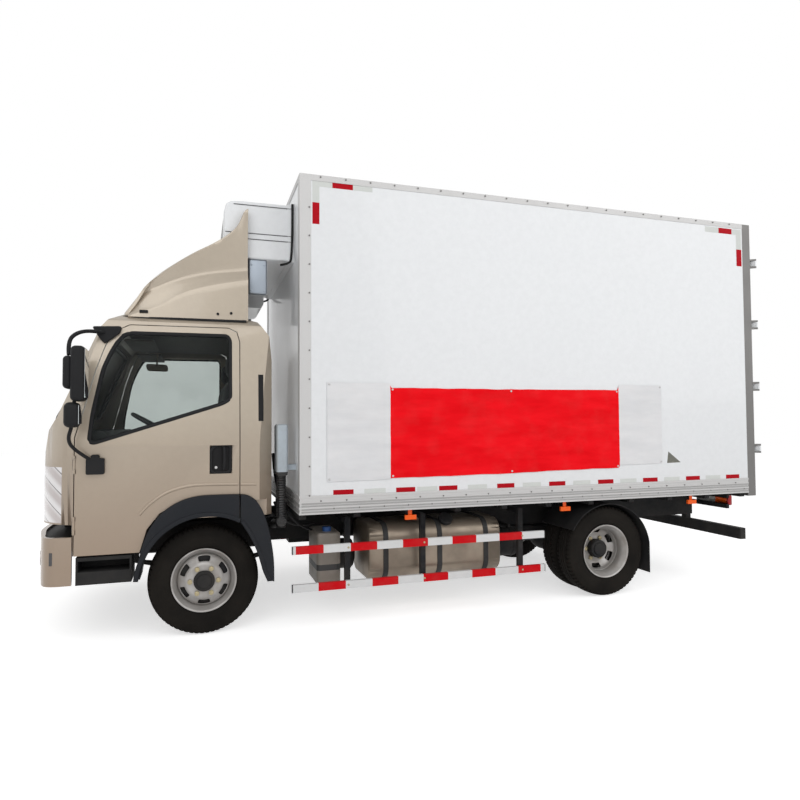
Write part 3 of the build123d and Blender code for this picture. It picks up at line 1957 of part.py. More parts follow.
with BuildPart() as fluid_tank:
    add(
        block(
            fluid_front,
            fluid_front + fluid_length,
            -tank_outer_y,
            -fluid_inner_y,
            fluid_low,
            fluid_high,
        )
    )
    fillet(fluid_tank.edges().filter_by(Axis.Z), radius=fluid_corner)
    fillet(fluid_tank.faces().sort_by(Axis.Z)[-1].edges(), radius=fluid_corner / 2)
    with BuildSketch(Plane.XY.offset(fluid_high - edge_round)):
        with Locations((at(fluid_front + fluid_length / 2), -tank_outer_y + 3 * fluid_cap_radius)):
            Circle(fluid_cap_radius)
    extrude(amount=fluid_cap_height)
    add(
        block(
            fluid_front + fluid_bracket,
            fluid_front + fluid_length - fluid_bracket,
            -fluid_inner_y - edge_round,
            -rail_half_spacing,
            rail_bottom + 2 * rail_web,
            rail_bottom + 2 * rail_web + fluid_bracket,
        )
    )
finish(fluid_tank, "fluid_tank")

# Right side: battery box and air tanks' place, then the silencer with its pipe
battery_front = 800
battery_length = 420
battery_low = 330
battery_high = 680
silencer_front = 1500
silencer_length = 700
silencer_radius = 150
silencer_y = 640
silencer_z = 440
pipe_radius = 38
pipe_bend = 120
pipe_front = 560

with BuildPart() as battery_box:
    add(
        block(
            battery_front,
            battery_front + battery_length,
            fluid_inner_y,
            tank_outer_y,
            battery_low,
            battery_high,
        )
    )
    fillet(battery_box.edges().filter_by(Axis.Z), radius=fluid_corner / 2)
    add(
        block(
            battery_front + fluid_bracket,
            battery_front + battery_length - fluid_bracket,
            rail_half_spacing,
            fluid_inner_y + edge_round,
            rail_bottom + 2 * rail_web,
            rail_bottom + 2 * rail_web + 2 * fluid_bracket,
        )
    )
finish(battery_box, "battery_box")

with BuildPart() as exhaust:
    with BuildSketch(
        Plane(origin=(at(silencer_front), silencer_y, silencer_z), z_dir=(1, 0, 0))
    ):
        Circle(silencer_radius)
    extrude(amount=silencer_length)
    fillet(exhaust.edges(), radius=silencer_radius / 5)
    add(
        bar(
            (at(silencer_front - 2 * pipe_bend), silencer_y - 2 * pipe_bend, silencer_z),
            (at(silencer_front + pipe_bend), silencer_y, silencer_z),
            pipe_radius,
        )
    )
    add(
        bar(
            (at(pipe_front), silencer_y - 2 * pipe_bend, silencer_z),
            (at(silencer_front - 2 * pipe_bend), silencer_y - 2 * pipe_bend, silencer_z),
            pipe_radius,
        )
    )
    with Locations((at(silencer_front - 2 * pipe_bend), silencer_y - 2 * pipe_bend, silencer_z)):
        Sphere(pipe_radius)
    for share in (0.2, 0.8):
        hanger_x = silencer_front + share * silencer_length
        add(
            block(
                hanger_x - strap_width / 2,
                hanger_x + strap_width / 2,
                rail_half_spacing,
                silencer_y,
                rail_bottom + 2 * rail_web,
                rail_bottom + 2 * rail_web + strap_width,
            )
        )
    add(
        bar(
            (at(silencer_front + silencer_length - edge_round), silencer_y, silencer_z),
            (at(silencer_front + silencer_length + pipe_bend), silencer_y + pipe_bend, silencer_z),
            pipe_radius,
        )
    )
finish(exhaust, "exhaust")

# Side guards: two rails each side on posts that hang from the load body
guard_front = 600
guard_rear = 2640
guard_y = 1055
guard_thickness = 28
guard_height = 56
guard_high_z = 575
guard_low_z = 305
guard_post_width = 40
guard_post_shares = [0.2, 0.49, 0.9]
guard_arm_height = 40

with BuildPart() as side_guards:
    for rail_z in (guard_high_z, guard_low_z):
        add(
            block(
                guard_front,
                guard_rear,
                guard_y,
                guard_y + guard_thickness,
                rail_z - guard_height / 2,
                rail_z + guard_height / 2,
            )
        )
    for share in guard_post_shares:
        post_x = guard_front + share * (guard_rear - guard_front)
        add(
            block(
                post_x - guard_post_width / 2,
                post_x + guard_post_width / 2,
                guard_y - guard_post_width,
                guard_y,
                guard_low_z - guard_height / 2,
                sill_top,
            )
        )
        add(
            block(
                post_x - guard_post_width / 2,
                post_x + guard_post_width / 2,
                rail_half_spacing,
                guard_y - edge_round,
                sill_top - guard_arm_height,
                sill_top,
            )
        )
    mirror(about=Plane.XZ)
finish(side_guards, "side_guards")

# Rear mudguards over the twin wheels
mudguard_clearance = 24
mudguard_thickness = 6
mudguard_inner_y = 560
mudguard_outer_y = 1060
mudguard_front_angle = 150
mudguard_rear_angle = 8
mudguard_flap_low = 180
mudguard_arm = 40
mudguard_radius = tyre_radius + mudguard_clearance
guard_plane = Plane(origin=(rear_axle_x, mudguard_inner_y, wheel_height), x_dir=(1, 0, 0), z_dir=(0, -1, 0))

with BuildPart() as rear_mudguards:
    with BuildSketch(guard_plane):
        with BuildLine():
            outer_arc = CenterArc(
                (0, 0),
                mudguard_radius + mudguard_thickness,
                mudguard_rear_angle,
                mudguard_front_angle - mudguard_rear_angle,
            )
            inner_arc = CenterArc(
                (0, 0),
                mudguard_radius,
                mudguard_rear_angle,
                mudguard_front_angle - mudguard_rear_angle,
            )
            Line(outer_arc @ 0, inner_arc @ 0)
            Line(outer_arc @ 1, inner_arc @ 1)
        make_face()
    extrude(amount=-(mudguard_outer_y - mudguard_inner_y))
    flap_x = wheelbase + mudguard_radius * math.cos(math.radians(mudguard_rear_angle))
    flap_top = wheel_height + mudguard_radius * math.sin(math.radians(mudguard_rear_angle))
    add(
        block(
            flap_x,
            flap_x + mudguard_thickness,
            mudguard_inner_y,
            mudguard_outer_y,
            mudguard_flap_low,
            flap_top + mudguard_thickness,
        )
    )
    for arm_share in (-0.5, 0.5):
        arm_x = wheelbase + arm_share * mudguard_radius
        add(
            block(
                arm_x - mudguard_arm / 2,
                arm_x + mudguard_arm / 2,
                rail_half_spacing,
                mudguard_inner_y + mudguard_arm / 4,
                rail_top - mudguard_arm / 2,
                rail_top + mudguard_arm / 4,
            )
        )
    mirror(about=Plane.XZ)
finish(rear_mudguards, "rear_mudguards")

# Rear underrun bar and lamp boards
underrun_x = 4730
underrun_z = 450
underrun_height = 100
underrun_depth = 60
underrun_half_width = 1050
underrun_bracket = 60
board_front = 4770
board_rear = 4800
board_inner_y = 405
board_outer_y = 830
board_low = 650
board_high = 788
lamp_depth = 45
lamp_low = 675
lamp_high = 770
lamp_edge = 12
marker_length = 90
marker_height = 34
marker_depth = 22
marker_places = [1449, 2800, 4091]

with BuildPart() as underrun_bar:
    add(
        block(
            underrun_x - underrun_depth / 2,
            underrun_x + underrun_depth / 2,
            -underrun_half_width,
            underrun_half_width,
            underrun_z - underrun_height / 2,
            underrun_z + underrun_height / 2,
        )
    )
    for bracket_side in (-1, 1):
        bracket_low = bracket_side * (rail_half_spacing - rail_flange / 2)
        add(
            block(
                underrun_x - underrun_depth / 2,
                underrun_x + underrun_depth / 2,
                bracket_low - underrun_bracket / 2,
                bracket_low + underrun_bracket / 2,
                underrun_z,
                rail_bottom,
            )
        )
        for board_z in (board_low, board_high - strap_width):
            add(
                block(
                    board_front,
                    board_rear,
                    min(bracket_side * rail_half_spacing, bracket_side * board_outer_y),
                    max(bracket_side * rail_half_spacing, bracket_side * board_outer_y),
                    board_z,
                    board_z + strap_width,
                )
            )
finish(underrun_bar, "underrun_bar")

with BuildPart() as lamps:
    add(
        block(
            board_rear,
            board_rear + lamp_depth,
            board_inner_y + lamp_edge,
            board_outer_y - lamp_edge,
            lamp_low,
            lamp_high,
        )
    )
    fillet(lamps.edges().filter_by(Axis.X), radius=lamp_edge)
    for marker_x in marker_places:
        add(
            block(
                marker_x,
                marker_x + marker_length,
                cargo_half_width - 2 * marker_depth,
                cargo_half_width - marker_depth,
                cargo_bottom - marker_height - 2 * marker_depth,
                cargo_bottom - 2 * marker_depth,
            )
        )
        add(
            block(
                marker_x + marker_length / 3,
                marker_x + 2 * marker_length / 3,
                cargo_half_width - 2 * marker_depth,
                cargo_half_width - 2 * marker_depth + edge_round,
                cargo_bottom - 2 * marker_depth,
                cargo_bottom,
            )
        )
    mirror(about=Plane.XZ)
finish(lamps, "lamps")

# Air intake stack behind the cab, left side
intake_x = 545
intake_y = -860
intake_half_x = 40
intake_half_y = 95
intake_low = 1100
intake_high = 1480
intake_hose_radius = 45
intake_hose_low = 760
intake_round = 18

with BuildPart() as air_intake:
    add(
        block(
            intake_x - intake_half_x,
            intake_x + intake_half_x,
            intake_y - intake_half_y,
            intake_y + intake_half_y,
            intake_low,
            intake_high,
        )
    )
    fillet(air_intake.edges(), radius=intake_round)
    add(
        bar(
            (at(intake_x), intake_y, intake_hose_low - intake_hose_radius),
            (at(intake_x), intake_y, intake_low + intake_round),
            intake_half_x - edge_round,
        )
    )
    add(
        bar(
            (at(intake_x), intake_y - intake_half_x, intake_hose_low),
            (at(intake_x), -rail_half_spacing - intake_round, intake_hose_low - 2 * intake_hose_radius),
            intake_half_x - edge_round,
        )
    )
    add(
        block(
            intake_x + intake_half_x - edge_round,
            cargo_front,
            intake_y - intake_half_x,
            intake_y + intake_half_x,
            intake_low + intake_half_x,
            intake_low + 2 * intake_half_x,
        )
    )
finish(air_intake, "air_intake")
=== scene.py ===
import json
import math

import bmesh
import bpy
from mathutils import Matrix, Vector, noise
from mathutils.bvhtree import BVHTree

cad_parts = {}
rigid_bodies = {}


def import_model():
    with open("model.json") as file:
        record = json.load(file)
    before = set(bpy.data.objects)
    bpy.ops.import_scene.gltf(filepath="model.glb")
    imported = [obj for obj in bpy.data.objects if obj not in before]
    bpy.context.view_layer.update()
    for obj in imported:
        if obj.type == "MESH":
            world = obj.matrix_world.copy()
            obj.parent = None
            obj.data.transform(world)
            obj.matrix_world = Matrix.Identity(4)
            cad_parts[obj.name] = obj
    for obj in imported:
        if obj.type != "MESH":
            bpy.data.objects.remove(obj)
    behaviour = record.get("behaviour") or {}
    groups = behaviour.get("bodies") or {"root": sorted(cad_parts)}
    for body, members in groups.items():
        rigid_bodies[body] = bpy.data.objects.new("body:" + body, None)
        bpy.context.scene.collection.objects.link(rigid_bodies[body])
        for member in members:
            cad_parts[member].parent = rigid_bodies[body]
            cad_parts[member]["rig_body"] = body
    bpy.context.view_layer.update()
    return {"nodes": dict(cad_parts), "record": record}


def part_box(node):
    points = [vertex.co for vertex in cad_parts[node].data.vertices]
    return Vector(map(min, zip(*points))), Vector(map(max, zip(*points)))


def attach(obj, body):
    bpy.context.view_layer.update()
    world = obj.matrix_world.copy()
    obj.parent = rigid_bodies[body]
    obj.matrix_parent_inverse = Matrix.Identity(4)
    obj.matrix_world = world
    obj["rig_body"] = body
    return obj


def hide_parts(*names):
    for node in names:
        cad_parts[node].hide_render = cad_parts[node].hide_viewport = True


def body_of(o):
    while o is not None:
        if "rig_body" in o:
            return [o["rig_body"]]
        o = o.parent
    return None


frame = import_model()
nodes = frame["nodes"]
bpy.ops.object.select_all(action="DESELECT")
print("frame loaded,", len(nodes), "solids")

frontAxle = -1.8975  # x of the front axle; distances along the truck are given from it
wheelbase = 3.28
hubHeight = 0.38
hands = {"left": -1, "right": 1}


def along(distance):
    return frontAxle + distance


camera = {
    "focal": 628.9,  # in pixels of the frame
    "frame": 800,
    "sensor": 36,
    "yaw": 17.934,
    "pitch": 2.054,
    "roll": -0.328,
    "place": (-0.0581, -5.6222, 1.488),
}


def aimCamera(c):
    yaw, pitch, roll = (math.radians(c[k]) for k in ("yaw", "pitch", "roll"))
    ahead = Vector((math.sin(yaw) * math.cos(pitch), math.cos(yaw) * math.cos(pitch), math.sin(pitch)))
    flat = Vector((math.cos(yaw), -math.sin(yaw), 0.0))
    upright = flat.cross(ahead)
    right = flat * math.cos(roll) + upright * math.sin(roll)
    up = upright * math.cos(roll) - flat * math.sin(roll)
    x, y, z = c["place"]
    bpy.ops.object.camera_add()
    eye = bpy.context.object
    eye.name = "photoCamera"
    eye.matrix_world = Matrix((
        (right.x, up.x, -ahead.x, along(x)),
        (right.y, up.y, -ahead.y, y),
        (right.z, up.z, -ahead.z, z),
        (0, 0, 0, 1),
    ))
    eye.data.sensor_width = c["sensor"]
    eye.data.lens = c["sensor"] * c["focal"] / c["frame"]
    eye.data.clip_end = 200
    bpy.context.scene.camera = eye
    eye.select_set(False)


studio = {
    "sky": 0.4,
    "lampSize": 9,
    "lamps": [  # place, watts
        ((-5.0, -9.0, 7.5), 400),
        ((5.5, -8.0, 6.0), 330),
        ((-9.0, 2.0, 5.0), 90),
    ],
    "floorSize": 60,
    "floorColour": (0.86, 0.86, 0.86, 1),
    "floorGlow": 0.6,
}


def lightStudio(s):
    world = bpy.data.worlds.new("paleSky")
    bpy.context.scene.world = world
    world.use_nodes = True
    tree = world.node_tree
    w = Wire(tree)
    glow = w.seen() * (1 - s["sky"]) + s["sky"]
    back = w.make("ShaderNodeBackground", {"Color": (1, 1, 1, 1), "Strength": glow})
    tree.links.new(back.socket, tree.nodes["World Output"].inputs["Surface"])
    for place, watts in s["lamps"]:
        bpy.ops.object.light_add(type="AREA", location=place)
        lamp = bpy.context.object
        lamp.data.size = s["lampSize"]
        lamp.data.energy = watts
        lamp.rotation_euler = (Vector((0, 0, 1.4)) - Vector(place)).to_track_quat("-Z", "Y").to_euler()
        lamp.select_set(False)
    bpy.ops.mesh.primitive_plane_add(size=s["floorSize"])
    floor = bpy.context.object
    floor.name = "studioFloor"
    bpy.context.scene.view_settings.view_transform = "Standard"
    return floor


def sums(operation):  # one operator, and the same from the right
    return (
        lambda wire, other: wire.math(operation, wire, other),
        lambda wire, other: wire.math(operation, other, wire),
    )


class Wire:  # a shader socket that can stand in sums
    def __init__(self, tree, socket=None):
        self.tree = tree
        self.socket = socket

    def make(self, kind, sockets, setup=None, out=0):
        node = self.tree.nodes.new(kind)
        for name, value in (setup or {}).items():
            setattr(node, name, value)
        for name, value in sockets.items():
            if isinstance(value, Wire):
                self.tree.links.new(value.socket, node.inputs[name])
            else:
                node.inputs[name].default_value = value
        return Wire(self.tree, node.outputs[out])

    def math(self, operation, *values):
        return self.make("ShaderNodeMath", dict(enumerate(values)), {"operation": operation})

    __add__, __radd__ = sums("ADD")
    __sub__, __rsub__ = sums("SUBTRACT")
    __mul__, __rmul__ = sums("MULTIPLY")
    __truediv__ = sums("DIVIDE")[0]
    __gt__, __lt__ = sums("GREATER_THAN")[0], sums("LESS_THAN")[0]

    def place(self):
        return self.make("ShaderNodeTexCoord", {}, out="Object")

    def axes(self):
        spot = self.place()
        return [self.make("ShaderNodeSeparateXYZ", {0: spot}, out=axis) for axis in range(3)]

    def seen(self):  # 1 for rays from the camera, also by way of metal and glass
        kinds = ("Is Camera Ray", "Is Glossy Ray", "Is Transmission Ray")
        direct, gloss, through = [self.make("ShaderNodeLightPath", {}, out=kind) for kind in kinds]
        return self.math("MAXIMUM", self.math("MAXIMUM", direct, gloss), through)

    def noise(self, scale, detail=3.0, rough=0.55, stretch=None):
        where = self.place()
        if stretch:
            where = self.make("ShaderNodeVectorMath", {0: where, 1: stretch}, {"operation": "MULTIPLY"})
        return self.make(
            "ShaderNodeTexNoise", {"Vector": where, "Scale": scale, "Detail": detail, "Roughness": rough}
        )

    def ramp(self, low, high):  # 0 below low, 1 above high
        return self.make("ShaderNodeMapRange", {"Value": self, "From Min": low, "From Max": high})

    def blend(self, factor, first, second):
        return self.make(
            "ShaderNodeMix", {0: factor, 6: first, 7: second}, {"data_type": "RGBA"}, out=2
        )

    def bump(self, height, depth, strength=1.0):
        return self.make("ShaderNodeBump", {"Height": height, "Distance": depth, "Strength": strength})


def rgb(r, g, b):
    return (r, g, b, 1)


def finish(name, build, **fixed):
    made = bpy.data.materials.new(name)
    made.use_nodes = True
    shader = made.node_tree.nodes["Principled BSDF"]
    for key, value in fixed.items():
        shader.inputs[key.replace("_", " ")].default_value = value
    for key, wire in build(Wire(made.node_tree)).items():
        made.node_tree.links.new(wire.socket, shader.inputs[key])
    return made


def paintFinish(name, colour, dusty, metal, coat, gloss, deep=None):  # panels, dusty low down; when deep is given, a painted reflection of the brown ground makes them darker and browner low down
    def build(w):
        z = w.axes()[2]
        cloud = w.noise(2.1, 4)
        fine = w.noise(24, 2)
        low = 1 - z.ramp(0.25, 1.25)
        dust = (low * (cloud * 0.9 + 0.1)).ramp(0.05, 1.0) * dusty
        shade = w.blend(fine.ramp(0.3, 0.7) * 0.5, rgb(*colour), rgb(*(c * 0.93 for c in colour)))
        # deep is a painted reflection of the brown ground, blended in more strongly towards the bottom
        if deep:
            shade = w.blend((1 - z.ramp(0.55, 1.55)) * 0.85, shade, rgb(*deep))
        body = w.blend(dust, shade, rgb(0.36, 0.32, 0.26))
        rough = gloss + cloud.ramp(0.35, 0.75) * 0.08 + dust * 0.4
        flake = w.noise(900, 1)
        return {
            "Base Color": body,
            "Roughness": rough,
            "Normal": w.bump(flake * 0.5 + w.noise(6, 1) * 3, 0.0004, 0.25),
        }
    return finish(name, build, Metallic=metal, Coat_Weight=coat, Coat_Roughness=0.06)


def steelFinish(name, colour, metal, gloss, dusty=0.3):  # metal with dust and faint wear
    def build(w):
        z = w.axes()[2]
        cloud = w.noise(5, 4)
        grain = w.noise(60, 3)
        dust = (1 - z.ramp(0.2, 1.3)) * cloud.ramp(0.3, 0.75) * dusty
        body = w.blend(grain.ramp(0.35, 0.7), rgb(*colour), rgb(*(c * 0.82 for c in colour)))
        return {
            "Base Color": w.blend(dust, body, rgb(0.34, 0.3, 0.25)),
            "Roughness": gloss + grain * 0.15 + dust * 0.4,
            "Normal": w.bump(grain, 0.0006, 0.35),
        }
    return finish(name, build, Metallic=metal, Specular_IOR_Level=0.5 if metal else 0.12)


def plasticFinish(name, colour, gloss, grainScale=700, dusty=0.35):  # moulded plastic with a fine grain
    def build(w):
        z = w.axes()[2]
        cloud = w.noise(4, 4)
        grain = w.noise(grainScale, 2)
        dust = (1 - z.ramp(0.2, 1.4)) * cloud.ramp(0.35, 0.8) * dusty
        return {
            "Base Color": w.blend(dust * 0.35 + cloud * 0.015, rgb(*colour), rgb(0.3, 0.27, 0.23)),
            "Roughness": gloss + cloud * 0.1 + dust * 0.3,
            "Normal": w.bump(grain, 0.0003, 0.5),
        }
    return finish(name, build, Specular_IOR_Level=0.14)


def brushedFinish(name, colour, gloss, stretch, metal):  # bare aluminium or stainless, brushed one way
    def build(w):
        brush = w.noise(220, 3, stretch=stretch)
        cloud = w.noise(3.5, 4)
        worn = rgb(*(c * 0.78 for c in colour))
        return {
            "Base Color": w.blend(brush.ramp(0.3, 0.7) * 0.4, rgb(*colour), worn),
            "Roughness": gloss + brush * 0.12 + cloud.ramp(0.4, 0.8) * 0.12,
            "Normal": w.bump(brush, 0.0002, 0.3),
        }
    return finish(name, build, Metallic=metal)


def rubberFinish(name):
    def build(w):
        cloud = w.noise(5, 4)
        fine = w.noise(160, 3)
        fresh, dusty = rgb(0.01, 0.009, 0.008), rgb(0.034, 0.029, 0.024)
        return {
            "Base Color": w.blend(cloud.ramp(0.3, 0.8) * 0.45, fresh, dusty),
            "Roughness": 0.72 + fine * 0.2,
            "Normal": w.bump(fine, 0.0005, 0.4),
        }
    return finish(name, build, Specular_IOR_Level=0.08)


def glassFinish(name, tint):
    made = bpy.data.materials.new(name)
    made.use_nodes = True
    w = Wire(made.node_tree)
    shader = made.node_tree.nodes["Principled BSDF"]
    shader.inputs["Base Color"].default_value = rgb(0.02, 0.025, 0.025)
    shader.inputs["Roughness"].default_value = 0.14
    clear = w.make("ShaderNodeBsdfTransparent", {"Color": tint})
    gloss = Wire(made.node_tree, shader.outputs[0])
    edge = w.make("ShaderNodeFresnel", {"IOR": 1.5})
    smear = w.noise(3, 3).ramp(0.45, 0.9) * 0.06
    both = w.make("ShaderNodeMixShader", {0: edge + smear + 0.04, 1: clear, 2: gloss})
    out = made.node_tree.nodes["Material Output"]
    made.node_tree.links.new(both.socket, out.inputs["Surface"])
    return made


finishes = {
    # the cab's deep colour is a painted reflection of the brown ground on its lower panels
    "cab_paint": paintFinish(
        "champagnePaint", (0.42, 0.36, 0.285), 0.35, 0.35, 0.5, 0.3, deep=(0.27, 0.185, 0.125)
    ),
    "box_panel": paintFinish("whitePanel", (0.8, 0.815, 0.83), 0.35, 0.0, 0.35, 0.3),
    "box_floor": steelFinish("floorPlate", (0.45, 0.46, 0.48), 0.8, 0.35),
    "box_door": paintFinish("whiteDoor", (0.8, 0.815, 0.83), 0.45, 0.0, 0.35, 0.3),
    "trim_aluminium": brushedFinish("brushedAluminium", (0.56, 0.555, 0.55), 0.42, (1, 8, 8), 0.3),
    "rear_stainless": brushedFinish("brushedStainless", (0.17, 0.165, 0.16), 0.34, (8, 8, 1), 0.6),
    "chassis_steel": steelFinish("chassisPaint", (0.014, 0.0145, 0.016), 0.0, 0.5, 0.12),
    "rail_paint": steelFinish("railPaint", (0.6, 0.6, 0.6), 0.0, 0.4),
    "black_plastic": plasticFinish("blackPlastic", (0.012, 0.0125, 0.014), 0.5),
    "grey_plastic": plasticFinish("greyPlastic", (0.1, 0.1, 0.105), 0.55),
    "lamp_lens": plasticFinish("lampHousing", (0.35, 0.36, 0.37), 0.15),
    "glass": glassFinish("cabGlass", rgb(0.86, 0.885, 0.875)),
    "tyre": rubberFinish("tyreRubber"),
    "rim_paint": steelFinish("rimSilver", (0.52, 0.53, 0.55), 0.6, 0.33, 0.6),
    "seat_cloth": plasticFinish("seatCloth", (0.05, 0.05, 0.055), 0.9),
}


def floorFinish(s):  # pale floor that shows as the white backdrop with the truck's shadow on it
    def build(w):
        return {
            "Roughness": 0.8 + w.noise(3) * 0.1,
            "Emission Color": w.blend(w.seen(), rgb(0, 0, 0), rgb(1, 1, 1)),
        }
    return finish("paleFloor", build, Base_Color=s["floorColour"], Emission_Strength=s["floorGlow"])


aimCamera(camera)
floor = lightStudio(studio)
floor.data.materials.append(floorFinish(studio))
print("camera and light set")


def rimFinish(name):  # silver wheel paint with dusty patches
    def build(w):
        cloud = w.noise(8, 4)
        dust = cloud.ramp(0.3, 0.7) * 0.6
        return {
            "Base Color": w.blend(dust, rgb(0.42, 0.41, 0.4), rgb(0.2, 0.17, 0.14)),
            "Roughness": 0.34 + dust * 0.45,
            "Metallic": 0.6 * (1 - dust),
            "Normal": w.bump(w.noise(90, 2), 0.0004, 0.3),
        }
    return finish(name, build)


rimSilver = rimFinish("wheelSilver")

guardRails = {
    "from": 0.6,
    "to": 2.64,
    "heights": (0.575, 0.305),
    "half": 0.029,
    "posts": (0.2, 0.49, 0.9),
    "stripes": 0.403,
    "starts": (0.622, 0.786),
}


def guardFinish(g):  # reflective red and white lengths on the side rails
    def build(w):
        x, y, z = w.axes()
        upper, lower = [w.math("FRACT", (x - along(start)) / g["stripes"]) for start in g["starts"]]
        run = w.blend(z > 0.44, lower, upper)
        level = w.math("MINIMUM", *[w.math("ABSOLUTE", z - height) for height in g["heights"]])
        rail = (w.math("ABSOLUTE", y) > 1.0545) * (level < 0.0285)
        red = (run < 0.5) * rail
        grime = w.noise(11, 4).ramp(0.4, 0.85) * 0.12
        tone = w.blend(rail, rgb(0.014, 0.0145, 0.016), rgb(0.72, 0.73, 0.73))
        tone = w.blend(red, tone, rgb(0.6, 0.003, 0.008))
        return {
            "Base Color": w.blend(grime, tone, rgb(0.25, 0.22, 0.19)),
            "Roughness": 0.38 + grime * 0.5,
            "Normal": w.bump(w.noise(70, 2), 0.0004, 0.3),
        }
    return finish("guardStripes", build, Specular_IOR_Level=0.1)


def tankFinish():  # dull aluminium with rubber-lined straps
    straps = [along(1.2 + share * 1.11) for share in (0.12, 0.52, 0.88)]

    def build(w):
        x = w.axes()[0]
        cloud = w.noise(6, 5)
        black = 0
        for strap in straps:
            black = (w.math("ABSOLUTE", x - strap) < 0.0205) + black
        dust = cloud.ramp(0.35, 0.75) * 0.5
        metal = w.blend(dust, rgb(0.27, 0.225, 0.175), rgb(0.13, 0.1, 0.075))
        return {
            "Base Color": w.blend(black, metal, rgb(0.02, 0.02, 0.02)),
            "Metallic": 0.7 * (1 - black) * (1 - dust),
            "Roughness": 0.36 + dust * 0.5 + black * 0.3,
            "Normal": w.bump(w.noise(18, 3) + w.noise(120, 2) * 0.2, 0.0012, 0.25),
        }
    return finish("tankAluminium", build)


def fluidFinish():  # grey tank, black band, blue cap
    def build(w):
        y, z = w.axes()[1:]
        cloud = w.noise(9, 4)
        band = w.math("ABSOLUTE", z - 0.41) < 0.022
        cap = (z > 0.6655) * (w.math("ABSOLUTE", y + 0.859) < 0.05)
        dust = cloud.ramp(0.35, 0.8) * 0.4
        tone = w.blend(dust, rgb(0.24, 0.215, 0.185), rgb(0.12, 0.1, 0.08))
        tone = w.blend(band, tone, rgb(0.02, 0.02, 0.02))
        return {
            "Base Color": w.blend(cap, tone, rgb(0.02, 0.085, 0.28)),
            "Roughness": 0.45 + dust * 0.3,
            "Normal": w.bump(w.noise(50, 2), 0.0006, 0.3),
        }
    return finish("fluidTankGrey", build)


def intakeFinish():  # pale duct above, ribbed black hose below
    def build(w):
        z = w.axes()[2]
        hose = z < 1.13
        ribs = w.math("SINE", z * (2 * math.pi / 0.018)) * hose
        tone = w.blend(hose, rgb(0.47, 0.53, 0.58), rgb(0.022, 0.022, 0.024))
        grime = w.noise(12, 4).ramp(0.4, 0.8) * 0.3
        return {
            "Base Color": w.blend(grime, tone, rgb(0.16, 0.15, 0.13)),
            "Roughness": 0.5 + grime * 0.3,
            "Normal": w.bump(ribs, 0.004, 0.8),
        }
    return finish("intakePlastic", build)


def smallLampFinish():  # orange side markers, red, orange and white rear boards
    def build(w):
        x, y, z = w.axes()
        across = w.math("ABSOLUTE", y)
        ribs = w.math("SINE", y * 900) * w.math("SINE", z * 900)
        rear = x > along(4.6)
        red = rear * (across > 0.8)
        white = rear * (across < 0.66)
        tone = w.blend(red, rgb(0.9, 0.12, 0.01), rgb(0.42, 0.004, 0.008))
        tone = w.blend(white, tone, rgb(0.62, 0.62, 0.6))
        return {
            "Base Color": tone,
            "Roughness": 0.16 + w.noise(20) * 0.1,
            "Normal": w.bump(ribs, 0.0006, 0.4),
        }
    return finish("smallLamps", build, Specular_IOR_Level=0.25)


def headLampFinish():  # clear cover over bright reflectors with fine ribs
    def build(w):
        x, z = w.axes()[::2]
        lean = z + (x - along(-1.0)) * 0.9
        cells = w.math("SINE", lean * 46)
        dark = w.math("ABSOLUTE", w.math("FRACT", (lean - 0.02) / 0.136) - 0.5) > 0.472
        glow = w.noise(30, 2)
        tone = w.blend(cells.ramp(-0.7, 0.9), rgb(0.52, 0.47, 0.46), rgb(0.78, 0.76, 0.76))
        return {
            "Base Color": w.blend(dark, tone, rgb(0.13, 0.12, 0.12)),
            "Roughness": 0.14 + glow * 0.12,
            "Metallic": 0.3 * (1 - dark),
            "Normal": w.bump(cells * 0.5 + glow, 0.002, 0.4),
        }
    return finish("headLampGlass", build, Coat_Weight=1.0, Coat_Roughness=0.02)


special = {
    "side_guards": guardFinish(guardRails),
    "fuel_tank": tankFinish(),
    "fluid_tank": fluidFinish(),
    "air_intake": intakeFinish(),
    "lamps": smallLampFinish(),
    "head_lamps": headLampFinish(),
}


def hold(piece):
    bpy.ops.object.select_all(action="DESELECT")
    piece.select_set(True)
    bpy.context.view_layer.objects.active = piece


def edit(piece):
    hold(piece)
    bpy.ops.object.mode_set(mode="EDIT")
    bpy.ops.mesh.select_all(action="SELECT")


def shut():
    bpy.ops.object.mode_set(mode="OBJECT")


def applied():
    bpy.ops.object.transform_apply(location=True, rotation=True, scale=True)
    return bpy.context.object


def cleaned(piece, reach=0.00002):  # near points merged, faces turned outwards
    edit(piece)
    bpy.ops.mesh.remove_doubles(threshold=reach)
    bpy.ops.mesh.normals_make_consistent(inside=False)
    shut()
    return piece


def altered(piece, kind, **values):  # by a modifier, applied
    hold(piece)
    change = piece.modifiers.new("change", kind)
    for name, value in values.items():
        setattr(change, name, value)
    bpy.ops.object.modifier_apply(modifier="change")
    return piece


def edged(piece, bevel, segments=2):
    if bevel:
        edit(piece)
        bpy.ops.mesh.bevel(offset=bevel, segments=segments, affect="EDGES")
        shut()
    return piece


def block(x0, x1, y0, y1, z0, z1, bevel=0.002, segments=2):  # x0 and x1 are distances from the front axle
    low, high = (along(x0), y0, z0), (along(x1), y1, z1)
    bpy.ops.object.select_all(action="DESELECT")
    bpy.ops.mesh.primitive_cube_add(size=1, location=[(a + b) / 2 for a, b in zip(low, high)])
    piece = bpy.context.object
    piece.scale = [b - a for a, b in zip(low, high)]
    applied()
    return edged(piece, bevel, segments)


def disc(centre, radius, depth, axis="Y", bevel=0.001, sides=24):  # centre's x is a distance too
    bpy.ops.object.select_all(action="DESELECT")
    turn = {"X": (0, math.pi / 2, 0), "Y": (math.pi / 2, 0, 0), "Z": (0, 0, 0)}[axis]
    place = (along(centre[0]), *centre[1:])
    bpy.ops.mesh.primitive_cylinder_add(
        vertices=sides, radius=radius, depth=depth, location=place, rotation=turn
    )
    applied()
    return edged(bpy.context.object, bevel)


